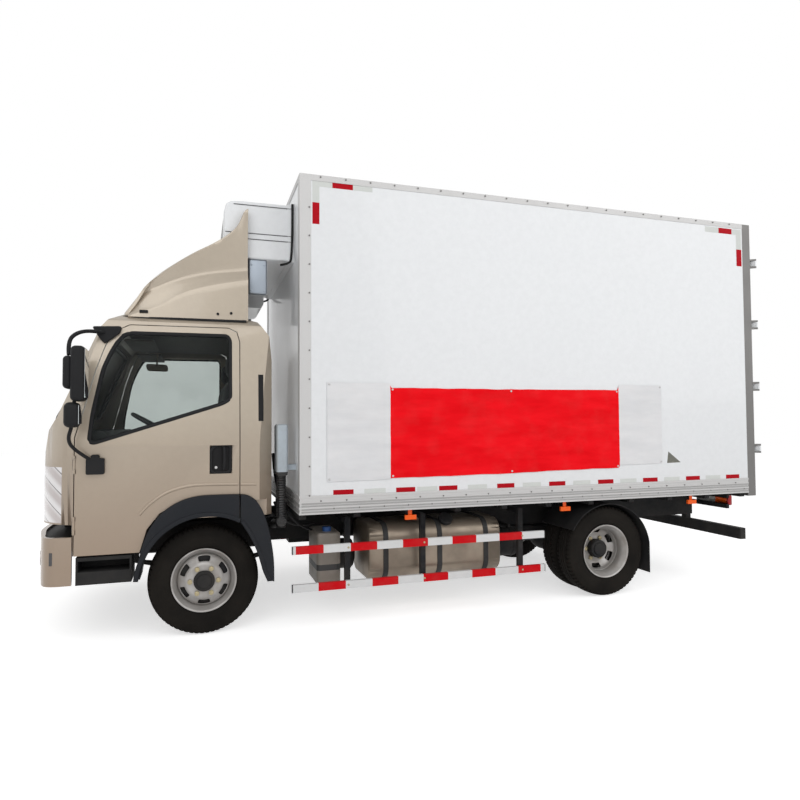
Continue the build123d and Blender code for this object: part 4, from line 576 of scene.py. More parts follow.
def startPoint(place):
    bpy.ops.object.select_all(action="DESELECT")
    bpy.ops.mesh.primitive_plane_add(size=0.01)
    piece = bpy.context.object
    bpy.context.tool_settings.mesh_select_mode = (True, False, False)
    edit(piece)
    bpy.ops.mesh.merge(type="CENTER")
    bpy.ops.transform.translate(value=place)
    return piece


def drawLine(points):
    for before, after in zip(points, points[1:]):
        step = [b - a for a, b in zip(before, after)]
        bpy.ops.mesh.extrude_region_move(TRANSFORM_OT_translate={"value": step})


def turned(points, centre, axis="Y", steps=48, angle=360):  # points are (along the axis, radius)
    line3 = {"X": Vector((1, 0, 0)), "Y": Vector((0, 1, 0)), "Z": Vector((0, 0, 1))}[axis]
    out3 = Vector((0, 0, 1)) if axis != "Z" else Vector((1, 0, 0))
    line = [Vector(centre) + line3 * a + out3 * r for a, r in points]
    piece = startPoint(line[0])
    drawLine(line)
    bpy.ops.mesh.select_all(action="SELECT")
    bpy.ops.mesh.spin(steps=steps, angle=math.radians(angle), center=centre, axis=line3)
    shut()
    return cleaned(piece, 0.00003)


def pipe(points, radius, smooth=True, sides=3, closed=False):  # a bar or tube along points
    bpy.ops.object.select_all(action="DESELECT")
    line = bpy.data.curves.new("run", "CURVE")
    line.dimensions = "3D"
    line.bevel_depth = radius
    line.bevel_resolution = sides
    line.use_fill_caps = True
    spline = line.splines.new("NURBS" if smooth else "POLY")
    spline.points.add(len(points) - 1)
    for spot, place in zip(spline.points, points):
        spot.co = (*place, 1)
    spline.use_cyclic_u = closed
    if smooth:
        spline.use_endpoint_u = not closed
        spline.order_u = 3
        line.resolution_u = 8
    piece = bpy.data.objects.new("run", line)
    bpy.context.collection.objects.link(piece)
    hold(piece)
    bpy.ops.object.convert(target="MESH")
    return bpy.context.object


def plate(outline, near, far, bevel=0.003, holes=(), axis="Y"):  # a sheet cut to an outline
    bpy.ops.object.select_all(action="DESELECT")
    line = bpy.data.curves.new("plate", "CURVE")
    line.dimensions = "2D"
    line.fill_mode = "BOTH"
    line.extrude = max(0.0, abs(far - near) / 2 - bevel)
    line.bevel_depth = bevel
    line.bevel_resolution = 2
    line.offset = -bevel
    for points in (outline, *holes):
        spline = line.splines.new("POLY")
        spline.points.add(len(points) - 1)
        spline.use_cyclic_u = True
        for spot, place in zip(spline.points, points):
            spot.co = (place[0], place[1], 0, 1)
    piece = bpy.data.objects.new("plate", line)
    bpy.context.collection.objects.link(piece)
    middle = (near + far) / 2
    piece.rotation_euler = {"Y": (math.pi / 2, 0, 0), "Z": (0, 0, 0)}[axis]
    piece.location = {"Y": (0, middle, 0), "Z": (0, 0, middle)}[axis]
    hold(piece)
    bpy.ops.object.convert(target="MESH")
    return cleaned(applied())


def rounded(points, radius, steps=6):  # an outline with its corners turned into arcs
    line = []
    for i, corner in enumerate(points):
        middle = Vector(corner)
        before, after = Vector(points[i - 1]) - middle, Vector(points[(i + 1) % len(points)]) - middle
        reach = min(radius, before.length * 0.48, after.length * 0.48)
        start, end = middle + before.normalized() * reach, middle + after.normalized() * reach
        for n in range(steps + 1):
            t = n / steps
            line.append(start * (1 - t) ** 2 + middle * 2 * t * (1 - t) + end * t ** 2)
    return line


def flowing(points, steps=6):  # a smooth line through the points
    whole = [points[0], *points, points[-1]]
    line = []
    for i in range(1, len(whole) - 2):
        a, b, c, d = (Vector(p) for p in whole[i - 1:i + 3])
        for n in range(steps):
            t = n / steps
            bend, turn = 2 * a - 5 * b + 4 * c - d, 3 * b - a - 3 * c + d
            line.append(0.5 * (2 * b + (c - a) * t + bend * t * t + turn * t ** 3))
    return line + [Vector(points[-1])]


def shifted(points):  # distances from the front axle turned into frame places
    return [(along(p[0]), *p[1:]) for p in points]


def lean(piece, centre, angle, axis):
    there = Matrix.Translation(centre)
    piece.data.transform(there @ Matrix.Rotation(angle, 4, axis) @ there.inverted())
    return piece


def row(piece, count, step):
    return altered(
        piece, "ARRAY", count=count, use_relative_offset=False, use_constant_offset=True,
        constant_offset_displace=step,
    )


def copied(piece, move):
    hold(piece)
    bpy.ops.object.duplicate()
    bpy.context.object.location = move
    return applied()


def mirrored(piece):  # the same piece on the truck's other side
    hold(piece)
    bpy.ops.object.duplicate()
    twin = bpy.context.object
    edit(twin)
    bpy.ops.transform.resize(value=(1, -1, 1), center_override=(0, 0, 0))
    bpy.ops.mesh.flip_normals()
    shut()
    return twin


def onSide(piece, sign, move):  # a copy moved to its place, turned outwards on the left
    if sign > 0:
        return copied(piece, move)
    mirrored(piece).location = move
    return applied()


def joined(pieces):
    if not isinstance(pieces, list):
        return pieces
    bpy.ops.object.select_all(action="DESELECT")
    for piece in pieces:
        piece.select_set(True)
    bpy.context.view_layer.objects.active = pieces[0]
    if len(pieces) > 1:
        bpy.ops.object.join()
    return bpy.context.object


def bothSides(pieces):
    piece = joined(pieces)
    return joined([piece, mirrored(piece)])


def settle(pieces, name, surface, body, smooth=35):
    piece = joined(pieces)
    hold(piece)
    piece.name = name
    piece.data.name = name
    applied()
    bpy.ops.object.shade_smooth_by_angle(angle=math.radians(smooth))
    piece.data.materials.clear()
    piece.data.materials.append(finishes[surface] if isinstance(surface, str) else surface)
    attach(piece, body)
    piece.select_set(False)
    return piece


def settlePair(pieces, name, surface, body, smooth=35):  # on the left and mirrored on the right
    piece = joined(pieces)
    pair = {"left": piece, "right": mirrored(piece)}
    for side, part in pair.items():
        settle(part, name + side, surface, body + side if body.endswith("_") else body, smooth)
    return pair


slotOf = {part["node"]: part["material_slot"] for part in frame["record"]["subparts"]}
smoothAngle = {"cab_shell": 26, "cab_front_panel": 26}


def dressed(node):  # a merged copy of a CAD solid, smooth where it is curved
    copy = bpy.data.objects.new(node + "Dressed", nodes[node].data.copy())
    bpy.context.collection.objects.link(copy)
    copy.matrix_world = nodes[node].matrix_world
    copy.data.materials.clear()
    copy.data.materials.append(special.get(node) or finishes[slotOf[node]])
    edit(copy)
    bpy.ops.mesh.remove_doubles(threshold=0.00002)
    bpy.ops.mesh.dissolve_limited(angle_limit=math.radians(0.4))
    shut()
    bpy.ops.object.shade_smooth_by_angle(angle=math.radians(smoothAngle.get(node, 32)))
    copy.select_set(False)
    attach(copy, body_of(nodes[node])[0])
    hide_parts(node)
    return copy


remade = ["seats", "deflector"]  # solids whose place is taken by pieces modelled below
for kind in ("tyre_front_", "tyres_rear_", "rim_front_", "rims_rear_", "door_fittings_"):
    remade += [kind + side for side in hands]
for node in nodes:
    nodes[node].data.materials.clear()
    nodes[node].data.materials.append(finishes[slotOf[node]])
    if node not in remade:
        dressed(node)
print("solids dressed")

tyreShape = {
    "halfProfile": [  # across from the middle, radius
        (0.07, 0.2235), (0.08, 0.2255), (0.089, 0.24), (0.0935, 0.252), (0.0945, 0.256),
        (0.0965, 0.262), (0.0965, 0.266), (0.0985, 0.285), (0.0998, 0.302), (0.0992, 0.318),
        (0.0978, 0.322), (0.0972, 0.33), (0.0945, 0.345), (0.09, 0.358), (0.084, 0.368),
        (0.0775, 0.3742), (0.057, 0.3772), (0.0555, 0.3692), (0.0475, 0.3694), (0.046, 0.3784),
        (0.021, 0.3798), (0.0195, 0.371), (0.0115, 0.371), (0.01, 0.38),
    ],
    "pitches": 64,
    "notchDepth": 0.0075,
    "notchFrom": 0.0565,  # across
    "notchOver": 0.36,  # radius
    "notchShare": 1 / 3.5,  # of a pitch
}


def modelTyre(t):
    half = t["halfProfile"]
    whole = half + [(-a, r) for a, r in reversed(half)] + [half[0]]
    sector = 360 / t["pitches"]
    piece = turned(whole, (0, 0, 0), steps=3, angle=sector)
    edit(piece)
    bpy.context.tool_settings.mesh_select_mode = (False, False, True)
    bpy.ops.mesh.select_all(action="DESELECT")
    mesh = bmesh.from_edit_mesh(piece.data)
    turns = [math.atan2(f.calc_center_median().x, f.calc_center_median().z) for f in mesh.faces]
    notchStart = max(turns) - math.radians(sector) * t["notchShare"]
    for face, turn in zip(mesh.faces, turns):
        c = face.calc_center_median()
        if turn > notchStart and abs(c.y) > t["notchFrom"] and math.hypot(c.x, c.z) > t["notchOver"]:
            face.select_set(True)
    bmesh.update_edit_mesh(piece.data)
    bpy.ops.mesh.extrude_region_shrink_fatten(TRANSFORM_OT_shrink_fatten={"value": -t["notchDepth"]})
    done = 1
    while done < t["pitches"]:
        bpy.ops.mesh.select_all(action="SELECT")
        bpy.ops.mesh.duplicate()
        bpy.ops.transform.rotate(
            value=math.radians(sector * done), orient_axis="Y", center_override=(0, 0, 0)
        )
        done *= 2
    bpy.ops.mesh.select_all(action="SELECT")
    bpy.ops.mesh.remove_doubles(threshold=0.00005)
    shut()
    return piece


def placeTyres():
    first = modelTyre(tyreShape)
    for side in hands:
        low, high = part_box("tyre_front_" + side)
        wide = high.y - low.y
        front = copied(first, (low + high) / 2)
        settle(front, "tyreFront_" + side, "tyre", "wheel_front_" + side, 28)
        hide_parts("tyre_front_" + side)
        low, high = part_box("tyres_rear_" + side)
        apart = Vector((0, (high.y - low.y - wide) / 2, 0))
        pair = [copied(first, (low + high) / 2 + way * apart) for way in (-1, 1)]
        rear = settle(pair, "tyresRear_" + side, "tyre", "wheel_rear_" + side, 28)
        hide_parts("tyres_rear_" + side)
    bpy.data.objects.remove(first)
    print("tyres modelled")


placeTyres()

wheelShape = {
    "barrel": [  # across from the middle of the tyre, radius
        (-0.088, 0.2225), (-0.085, 0.214), (-0.072, 0.203), (-0.03, 0.186), (0.02, 0.18),
        (0.05, 0.188), (0.07, 0.203), (0.082, 0.211), (0.088, 0.215), (0.091, 0.2215), (0.089, 0.2235),
    ],
    "frontDisc": [
        (0.03, 0.182), (0.048, 0.1785), (0.062, 0.17), (0.076, 0.153), (0.088, 0.136),
        (0.098, 0.124), (0.103, 0.114), (0.104, 0.104), (0.104, 0.06),
    ],
    "rearDisc": [
        (-0.012, 0.182), (-0.034, 0.1785), (-0.048, 0.17), (-0.062, 0.153), (-0.07, 0.136),
        (-0.074, 0.124), (-0.076, 0.114), (-0.076, 0.104), (-0.076, 0.06),
    ],
    "rims": {  # distance, body, solid, forms with their distance from the middle
        "rimFront_": (0, "wheel_front_", "rim_front_", [("barrel", 0.825), ("frontDisc", 0.825)]),
        "rimsRear_": (
            wheelbase, "wheel_rear_", "rims_rear_",
            [("barrel", 0.917), ("rearDisc", 0.917), ("barrel", 0.677)],
        ),
    },
    "drums": {  # distance, body, from and to across
        "drumFront_": (0, "wheel_front_", 0.76, 0.872),
        "drumRear_": (wheelbase, "wheel_rear_", 0.59, 0.815),
    },
    "ventRadii": (0.136, 0.17),
    "vents": 6,
    "ventHalf": 15,  # degrees
    "drumRadius": 0.171,
    "drumFace": (0.012, 0.12),
}


def softened(piece, levels, thickness):
    altered(piece, "SOLIDIFY", thickness=thickness, offset=0)
    return altered(piece, "SUBSURF", levels=levels, render_levels=levels)


def modelDisc(w, profile):
    piece = turned(profile, (0, 0, 0), steps=72)
    edit(piece)
    bpy.ops.mesh.select_all(action="DESELECT")
    bpy.context.tool_settings.mesh_select_mode = (False, False, True)
    mesh = bmesh.from_edit_mesh(piece.data)
    low, high = w["ventRadii"]
    for face in mesh.faces:
        c = face.calc_center_median()
        out, turn = math.hypot(c.x, c.z), math.degrees(math.atan2(c.z, c.x))
        off = (turn - 90 + 30) % (360 / w["vents"]) - 30
        face.select_set(low < out < high and abs(off) < w["ventHalf"])
    bmesh.update_edit_mesh(piece.data)
    bpy.ops.mesh.delete(type="FACE")
    shut()
    return softened(piece, 2, 0.006)


def placeWheels(w):
    forms = {"barrel": softened(turned(w["barrel"], (0, 0, 0), steps=96), 1, 0.005)}
    for kind in ("frontDisc", "rearDisc"):
        forms[kind] = modelDisc(w, w[kind])
    for side, sign in hands.items():
        for name, (distance, body, node, parts) in w["rims"].items():
            placed = [
                onSide(forms[kind], sign, (along(distance), sign * across, hubHeight))
                for kind, across in parts
            ]
            wheel = settle(placed, name + side, rimSilver, body + side, 50)
            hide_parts(node + side)
        for name, (distance, body, near, far) in w["drums"].items():
            radius, (bulge, face) = w["drumRadius"], w["drumFace"]
            shape = [(near, 0.0), (near, radius), (far, radius), (far + bulge, face), (far + bulge, 0.0)]
            drum = turned([(sign * a, r) for a, r in shape], (along(distance), 0, hubHeight), steps=48)
            settle(drum, name + side, "chassis_steel", body + side)
    for form in forms.values():
        bpy.data.objects.remove(form)


placeWheels(wheelShape)
print("rims modelled")

hubShape = {
    "caps": {  # distance, from the middle, body, profile
        "hubCapFront_": (0, 0.9245, "wheel_front_", [
            (-0.06, 0.072), (0.016, 0.072), (0.021, 0.068),
            (0.022, 0.052), (0.03, 0.047), (0.031, 0.0),
        ]),
        "hubCapRear_": (wheelbase, 0.908, "wheel_rear_", [
            (-0.12, 0.078), (-0.004, 0.078), (0.002, 0.073),
            (0.003, 0.056), (0.012, 0.05), (0.013, 0.0),
        ]),
    },
    "nutSets": {"nutsFront_": (0, 0.938, "wheel_front_"), "nutsRear_": (wheelbase, 0.851, "wheel_rear_")},
    "nutRing": 0.096,
    "nutRadius": 0.0185,
    "boltRadius": 0.009,
    "nuts": 6,
}


def modelHub(h, side, sign):
    for name, (distance, across, body, profile) in h["caps"].items():
        centre = (along(distance), sign * across, hubHeight)
        cap = turned([(sign * a, r) for a, r in profile], centre, steps=40)
        settle(cap, name + side, "black_plastic", body + side)
    for name, (distance, across, body) in h["nutSets"].items():
        nuts = []
        for n in range(h["nuts"]):
            turn = 2 * math.pi * (n + 1) / h["nuts"] + math.pi / 2
            x = distance + h["nutRing"] * math.sin(turn)
            z = hubHeight + h["nutRing"] * math.cos(turn)
            nuts.append(disc((x, sign * across, z), h["nutRadius"], 0.02, bevel=0.003, sides=6))
            nuts.append(disc((x, sign * (across + 0.012), z), h["boltRadius"], 0.01, bevel=0.002, sides=12))
        settle(nuts, name + side, zincFinish, body + side)


zincFinish = steelFinish("yellowZinc", (0.42, 0.36, 0.22), 0.8, 0.35)
for side, sign in hands.items():
    modelHub(hubShape, side, sign)
print("hubs modelled")


def tapeFinish(name, colour, second):
    def build(w):
        cells = w.make(
            "ShaderNodeTexVoronoi", {"Vector": w.place(), "Scale": 160.0}, {"feature": "DISTANCE_TO_EDGE"}
        )
        grime = w.noise(14, 4).ramp(0.35, 0.8)
        return {
            "Base Color": w.blend(cells.ramp(0.0, 0.12) * 0.5 + grime * 0.4, rgb(*second), rgb(*colour)),
            "Roughness": 0.4 + grime * 0.25,
            "Normal": w.bump(cells, 0.0004, 0.3),
        }
    return finish(name, build, Specular_IOR_Level=0.1)


redTape = tapeFinish("redReflector", (0.5, 0.003, 0.012), (0.38, 0.002, 0.008))
whiteTape = tapeFinish("whiteReflector", (0.7, 0.72, 0.69), (0.62, 0.64, 0.62))

bodySkin = {
    "wallY": 1.1,
    "tapeThick": 0.0007,
    "redStarts": [0.891, 1.371, 1.717, 2.21, 2.678, 3.145, 3.597, 4.052, 4.498],
    "redLength": 0.152,
    "heights": (0.95, 1.0),
    "whiteLength": 0.165,
    "corners": [  # colour, from and to along, from and to in height
        ("white", 0.74, 0.889, 3.225, 3.277), ("red", 0.889, 1.045, 3.225, 3.277),
        ("white", 1.045, 1.196, 3.225, 3.277), ("white", 0.74, 0.792, 3.105, 3.225),
        ("red", 0.74, 0.792, 2.945, 3.105), ("white", 4.325, 4.479, 3.205, 3.255),
        ("red", 4.479, 4.63, 3.205, 3.255), ("white", 4.63, 4.74, 3.205, 3.255),
        ("white", 4.68, 4.74, 3.07, 3.205), ("red", 4.68, 4.74, 2.915, 3.07),
    ],
}


def sideTape(b):
    starts, lengths = b["redStarts"], (b["redLength"], b["whiteLength"] / 2)
    patches = [("red", start, start + lengths[0], *b["heights"]) for start in starts]
    for start, following in zip(starts, starts[1:]):
        middle = (start + lengths[0] + following) / 2
        patches.append(("white", middle - lengths[1], middle + lengths[1], *b["heights"]))
    for colour, surface in (("red", redTape), ("white", whiteTape)):
        pieces = [
            block(x0, x1, -b["wallY"] - b["tapeThick"], -b["wallY"] + 0.001, z0, z1, 0.0002, 1)
            for kind, x0, x1, z0, z1 in patches + b["corners"] if kind == colour
        ]
        settle(bothSides(pieces), colour + "Tape", surface, "chassis")


sideTape(bodySkin)

trimShape = {
    "outY": 1.108,
    "frontX": 0.642,
    "rivetRadius": 0.0065,
    "postRivets": {"x": 0.717, "top": 3.064, "count": 11, "step": 0.2098},
    "railRivets": {"count": 21, "step": 0.19, "rows": [(0.8, 0.925), (0.895, 0.868), (0.8, 3.295)]},
    "frontRivets": [(-0.95, 0.868, 11), (-0.855, 0.925, 10)],
    "ribEnds": (0.66, 4.748),
    "ribFront": 1.085,
    "ribs": [(0.914, 0.905), (0.893, 0.885), (0.872, 0.864), (0.851, 0.843)],
}


def rivetAt(spot, axis):
    return edged(disc(spot, trimShape["rivetRadius"], 0.006, axis, bevel=0, sides=10), 0.0022)


ribGrey = brushedFinish("ribGrey", (0.36, 0.355, 0.35), 0.45, (1, 8, 8), 0.3)


def bodyRivets(t):
    y = -t["outY"]
    post, rail = t["postRivets"], t["railRivets"]
    sets = [row(rivetAt((post["x"], y, post["top"]), "Y"), post["count"], (0, 0, -post["step"]))]
    for start, height in rail["rows"]:
        sets.append(row(rivetAt((start, y, height), "Y"), rail["count"], (rail["step"], 0, 0)))
    sides = bothSides(sets)
    front = [
        row(rivetAt((t["frontX"], start, height), "X"), count, (0, rail["step"], 0))
        for start, height, count in t["frontRivets"]
    ]
    settle([sides, *front], "bodyRivets", "rear_stainless", "chassis")
    ribs = [block(*t["ribEnds"], y - 0.0025, y + 0.001, low, high, 0.0012, 1) for high, low in t["ribs"]]
    sides = bothSides(ribs)
    x, half = t["frontX"], t["ribFront"]
    front = [block(x - 0.0025, x + 0.001, -half, half, low, high, 0.0012, 1) for high, low in t["ribs"]]
    settle([sides, *front], "railRibs", ribGrey, "chassis")


bodyRivets(trimShape)
print("load body dressed")

bannerShape = {
    "columns": [  # distance, low edge, high edge
        (0.846, 1.062, 1.786), (1.32, 1.066, 1.782), (1.334, 1.072, 1.75), (2.3, 1.08, 1.748),
        (3.352, 1.096, 1.753), (3.366, 1.118, 1.8), (3.8, 1.124, 1.796),
    ],
    "across": 150,
    "up": 40,
    "redFrom": 1.327,
    "redTo": 3.359,
    "off": 0.0035,
    "fold": 0.01,
    "studs": [
        (0.862, 1.77), (1.345, 1.737), (2.34, 1.734), (3.34, 1.74), (3.786, 1.782),
        (0.862, 1.078), (1.345, 1.088), (2.34, 1.096), (3.34, 1.11), (3.786, 1.138),
    ],
}


def bannerFinish(b):
    def build(w):
        x, z = w.axes()[::2]
        red = (x > along(b["redFrom"])) * (x < along(b["redTo"]))
        weave = w.math("SINE", x * 5200) * w.math("SINE", z * 5200)
        soil = w.noise(7, 4).ramp(0.45, 0.85) * 0.05
        shade = w.noise(3.2, 2, stretch=(1, 1, 4)).ramp(0.35, 0.7)
        redTone = w.blend(shade, rgb(0.84, 0.003, 0.008), rgb(0.97, 0.007, 0.014))
        whiteTone = w.blend(shade, rgb(0.74, 0.745, 0.76), rgb(0.8, 0.8, 0.81))
        cloth = w.blend(red, whiteTone, redTone)
        return {
            "Base Color": w.blend(soil, cloth, rgb(0.35, 0.31, 0.27)),
            "Roughness": 0.62 + weave * 0.06,
            "Normal": w.bump(weave * 0.4 + w.noise(40, 2) * 2, 0.0005, 0.4),
        }
    return finish("bannerCloth", build, Specular_IOR_Level=0.05)


def gridOf(across, up, place):  # a grid whose points go where place(u, t) says
    bpy.ops.object.select_all(action="DESELECT")
    bpy.ops.mesh.primitive_grid_add(x_subdivisions=across, y_subdivisions=up, size=2)
    piece = bpy.context.object
    for v in piece.data.vertices:
        v.co = place((v.co.x + 1) / 2, (v.co.y + 1) / 2)
    return piece


def between(rows, distance):  # the rows' other values at a distance
    for (x0, *before), (x1, *after) in zip(rows, rows[1:]):
        if distance <= x1:
            t = max(0.0, (distance - x0) / (x1 - x0))
            return [a + (b - a) * t for a, b in zip(before, after)]
    return rows[-1][1:]


def makeBanner(b):
    first, last = b["columns"][0][0], b["columns"][-1][0]

    def place(u, t):
        distance = first + (last - first) * u
        low, high = between(b["columns"], distance)
        low += 0.005 * noise.noise(Vector((distance * 6, 1.3, 0)))
        high += 0.004 * noise.noise(Vector((distance * 7, 7.1, 0)))
        height = low + (high - low) * t
        drift = Vector((distance * 2.3 + height * 1.2, height * 7.5, 0.4))
        fold = noise.noise(drift) + 0.5 * noise.noise(drift * 2.7) + 0.22 * noise.noise(drift * 7)
        pinned = min(1.0, 8 * min(t, 1 - t) + 0.25) * min(1.0, 12 * min(u, 1 - u) + 0.25)
        lift = b["off"] + b["fold"] * max(0.0, 0.32 + fold * 0.62) * pinned
        return along(distance), -bodySkin["wallY"] - lift, height

    cloth = cleaned(gridOf(b["across"], b["up"], place))
    cloth.data.update()
    if cloth.data.polygons[0].normal.y > 0:
        cloth.data.flip_normals()
    altered(cloth, "SOLIDIFY", thickness=0.0008, offset=1)
    settle(cloth, "banner", bannerFinish(b), "chassis", smooth=60)
    studs = [disc((x, -1.1075, z), 0.008, 0.006, bevel=0.002, sides=12) for x, z in b["studs"]]
    settle(studs, "bannerStuds", "trim_aluminium", "chassis")


makeBanner(bannerShape)
print("banner hung")

wedgeShape = [(3.853, -1.1008, 1.122), (3.868, -1.1008, 1.222), (3.998, -1.1008, 1.125)]


def sideMarks(corners):
    wedge = startPoint((along(corners[0][0]), *corners[0][1:]))
    drawLine(shifted(corners))
    bpy.ops.mesh.select_all(action="SELECT")
    bpy.ops.mesh.edge_face_add()
    bpy.ops.mesh.extrude_region_move(TRANSFORM_OT_translate={"value": (0, 0.0015, 0)})
    shut()
    grey = tapeFinish("greyReflector", (0.22, 0.22, 0.19), (0.14, 0.14, 0.12))
    settle(cleaned(wedge), "cornerReflector", grey, "chassis")


sideMarks(wedgeShape)

cabLine = {
    "swage": [
        (-0.425, 0.872), (-0.387, 0.917), (-0.34, 0.959), (-0.273, 1.007), (-0.202, 1.036),
        (-0.118, 1.056), (-0.027, 1.064), (0.226, 1.058),
    ],
    "swageRear": [(0.242, 1.057), (0.3, 1.055), (0.352, 1.053)],
    "radius": 0.013,
    "sideY": 0.993,
}


def swage(c):
    for name, line, body in (("swageDoor_", c["swage"], "door_"), ("swageRear_", c["swageRear"], "cab")):
        run = pipe([(along(x), -c["sideY"], z) for x, z in line], c["radius"])
        settlePair(run, name, "cab_paint", body, 60)


swage(cabLine)


def skinOf(names):  # the surface of CAD solids, to seat things on
    spots, faces = [], []
    for name in names:
        piece = nodes[name]
        base = len(spots)
        spots += [piece.matrix_world @ v.co for v in piece.data.vertices]
        faces += [[base + i for i in f.vertices] for f in piece.data.polygons]
    return BVHTree.FromPolygons(spots, faces)


leftSkin = skinOf(["door_left", "door_glass_left", "cab_shell", "cab_front_panel"])
frontSkin = skinOf(["cab_shell", "cab_front_panel", "windscreen"])


def sideAt(x, z, skin=leftSkin):  # past the narrow gaps round the glass
    for dx, dz in ((0, 0), (0.012, 0), (-0.012, 0), (0, 0.012), (0, -0.012), (0, -0.04), (0.04, 0)):
        found = skin.ray_cast(Vector((x + dx, -3, z + dz)), Vector((0, 1, 0)), 2.3)[0]
        if found:
            return found.y
    return -0.99


def noseAt(y, z, skin=frontSkin):
    for dy, dz in ((0, 0), (0, 0.012), (0, -0.012), (0.012, 0), (-0.012, 0), (0, -0.03)):
        found = skin.ray_cast(Vector((-5, y + dy, z + dz)), Vector((1, 0, 0)), 3.2)[0]
        if found:
            return found.x
    return along(-0.9)


sealShape = {
    "window": [
        (-0.742, 1.35), (-0.722, 1.56), (-0.664, 1.862), (-0.608, 2.0), (-0.552, 2.094),
        (-0.5, 2.119), (0.15, 2.122), (0.172, 2.088), (0.173, 1.662), (0.118, 1.628),
    ],
    "corner": 0.055,
    "radius": 0.0155,
    "sunk": 0.0085,
    "screen": [(-0.884, 1.52), (0.884, 1.52), (0.82, 2.112), (-0.82, 2.112)],
}


def windowSeals(c):
    line = rounded(shifted(c["window"]), c["corner"], 7)
    path = [(x, sideAt(x, z) + c["sunk"], z) for x, z in line]
    seal = pipe(path, c["radius"], smooth=False, closed=True)
    settlePair(seal, "windowSeal_", "black_plastic", "door_", smooth=60)
    rim = []
    for (y0, z0), (y1, z1) in zip(c["screen"], c["screen"][1:] + c["screen"][:1]):
        rim += [(y0 + (y1 - y0) * n / 10, z0 + (z1 - z0) * n / 10) for n in range(10)]
    path = [(noseAt(y, z) + c["sunk"], y, z) for y, z in rim]
    around = pipe(path, c["radius"] * 1.2, smooth=True, closed=True)
    settle(around, "screenSeal", "black_plastic", "cab", smooth=60)


windowSeals(sealShape)

flareShape = {
    "front": [
        (-0.43, 0.43), (-0.424, 0.56), (-0.398, 0.68), (-0.352, 0.785), (-0.28, 0.88),
        (-0.17, 0.952), (-0.05, 0.985), (0.08, 0.99), (0.2335, 0.988),
    ],
    "rear": [
        (0.242, 0.988), (0.3, 0.975), (0.357, 0.929), (0.405, 0.84), (0.446, 0.7),
        (0.474, 0.52), (0.478, 0.362),
    ],
    "rearInner": [
        (0.43, 0.362), (0.405, 0.42), (0.385, 0.49), (0.352, 0.59), (0.3, 0.7), (0.242, 0.792),
    ],
    "doorEdge": 0.2335,
    "footAngle": 175.5,
    "archCentre": (0.02, 0.395),
    "archRadius": 0.448,
    "inY": -0.944,
    "linerY": -0.72,
    "outY": -1.033,
    "lipWidth": 0.03,
    "lipY": -1.04,
}


def arcOf(centre, radius, start, end, steps=28):
    turns = [math.radians(start + (end - start) * n / steps) for n in range(steps + 1)]
    return [(centre[0] + radius * math.cos(t), centre[1] + radius * math.sin(t)) for t in turns]


def makeFlares(f):
    centre, radius, foot = f["archCentre"], f["archRadius"], f["footAngle"]
    reach = math.degrees(math.acos((f["doorEdge"] - centre[0]) / radius))
    inner = arcOf(centre, radius, reach, foot)
    lip = arcOf(centre, radius + f["lipWidth"], reach + 0.6, foot)
    deep = arcOf(centre, radius - 0.008, reach, foot)
    front = [
        plate(shifted(flowing(f["front"]) + inner), f["inY"], f["outY"], 0.007),
        plate(shifted(inner + lip[::-1]), f["inY"], f["lipY"], 0.005),
        plate(shifted(inner + deep[::-1]), f["linerY"], f["inY"] - 0.02, 0.001),
    ]
    settle(bothSides(front), "flares", flareBlack, "cab", 40)
    back = flowing(f["rearInner"])
    edge = [(x + 0.022, z + 0.012) for x, z in back]
    rear = [
        plate(shifted(flowing(f["rear"]) + back), f["inY"], f["outY"], 0.007),
        plate(shifted(back + edge[::-1]), f["inY"], f["lipY"], 0.005),
    ]
    settle(bothSides(rear), "frameFlares", flareBlack, "chassis", 40)


flareBlack = plasticFinish("flarePlastic", (0.013, 0.015, 0.019), 0.45, dusty=0.08)
makeFlares(flareShape)

fittings = {
    "shells": [  # from and to along, across and in height, edge radius
        (-0.812, -0.728, -1.283, -1.11, 1.634, 1.984, 0.03),
        (-0.858, -0.8, -1.262, -1.13, 1.712, 1.922, 0.028),
        (-0.85, -0.762, -1.27, -1.125, 1.468, 1.628, 0.034),
    ],
    "mirrors": [
        (-0.7285, -0.7265, -1.268, -1.125, 1.655, 1.965),
        (-0.7635, -0.7605, -1.255, -1.14, 1.49, 1.608),
    ],
    "bracket": [(-0.735, 2.152), (-0.548, 2.16), (-0.56, 2.112), (-0.655, 2.035), (-0.69, 2.075)],
    "arm": [
        (-0.655, -0.95, 2.11), (-0.726, -1.03, 2.112), (-0.8, -1.11, 2.085),
        (-0.842, -1.17, 2.02), (-0.83, -1.195, 1.93),
    ],
    "stay": [
        (-0.79, -1.19, 1.66), (-0.815, -1.19, 1.56), (-0.808, -1.185, 1.48),
        (-0.838, -1.165, 1.395), (-0.812, -1.11, 1.325), (-0.735, -1.03, 1.262),
    ],
    "base": [
        (-0.752, 1.155), (-0.64, 1.155), (-0.64, 1.262), (-0.672, 1.262), (-0.672, 1.286),
        (-0.722, 1.286), (-0.722, 1.262), (-0.752, 1.262),
    ],
    "handle": [
        (0.028, 1.318), (0.07, 1.35), (0.184, 1.35), (0.184, 1.13), (0.043, 1.13), (0.028, 1.16),
    ],
    "recess": [
        (0.05, 1.3), (0.085, 1.328), (0.164, 1.328), (0.164, 1.152), (0.056, 1.152), (0.05, 1.17),
    ],
    "grip": [  # distance, out from the door, height
        (0.128, -0.004, 1.16), (0.132, -0.02, 1.185), (0.132, -0.02, 1.3), (0.128, -0.004, 1.322),
    ],
}


def mirrorGlassFinish():
    def build(w):
        return {"Roughness": 0.03 + w.noise(30) * 0.02}
    return finish("mirrorSilver", build, Base_Color=rgb(0.75, 0.78, 0.8), Metallic=1.0)


mirrorSilver = mirrorGlassFinish()


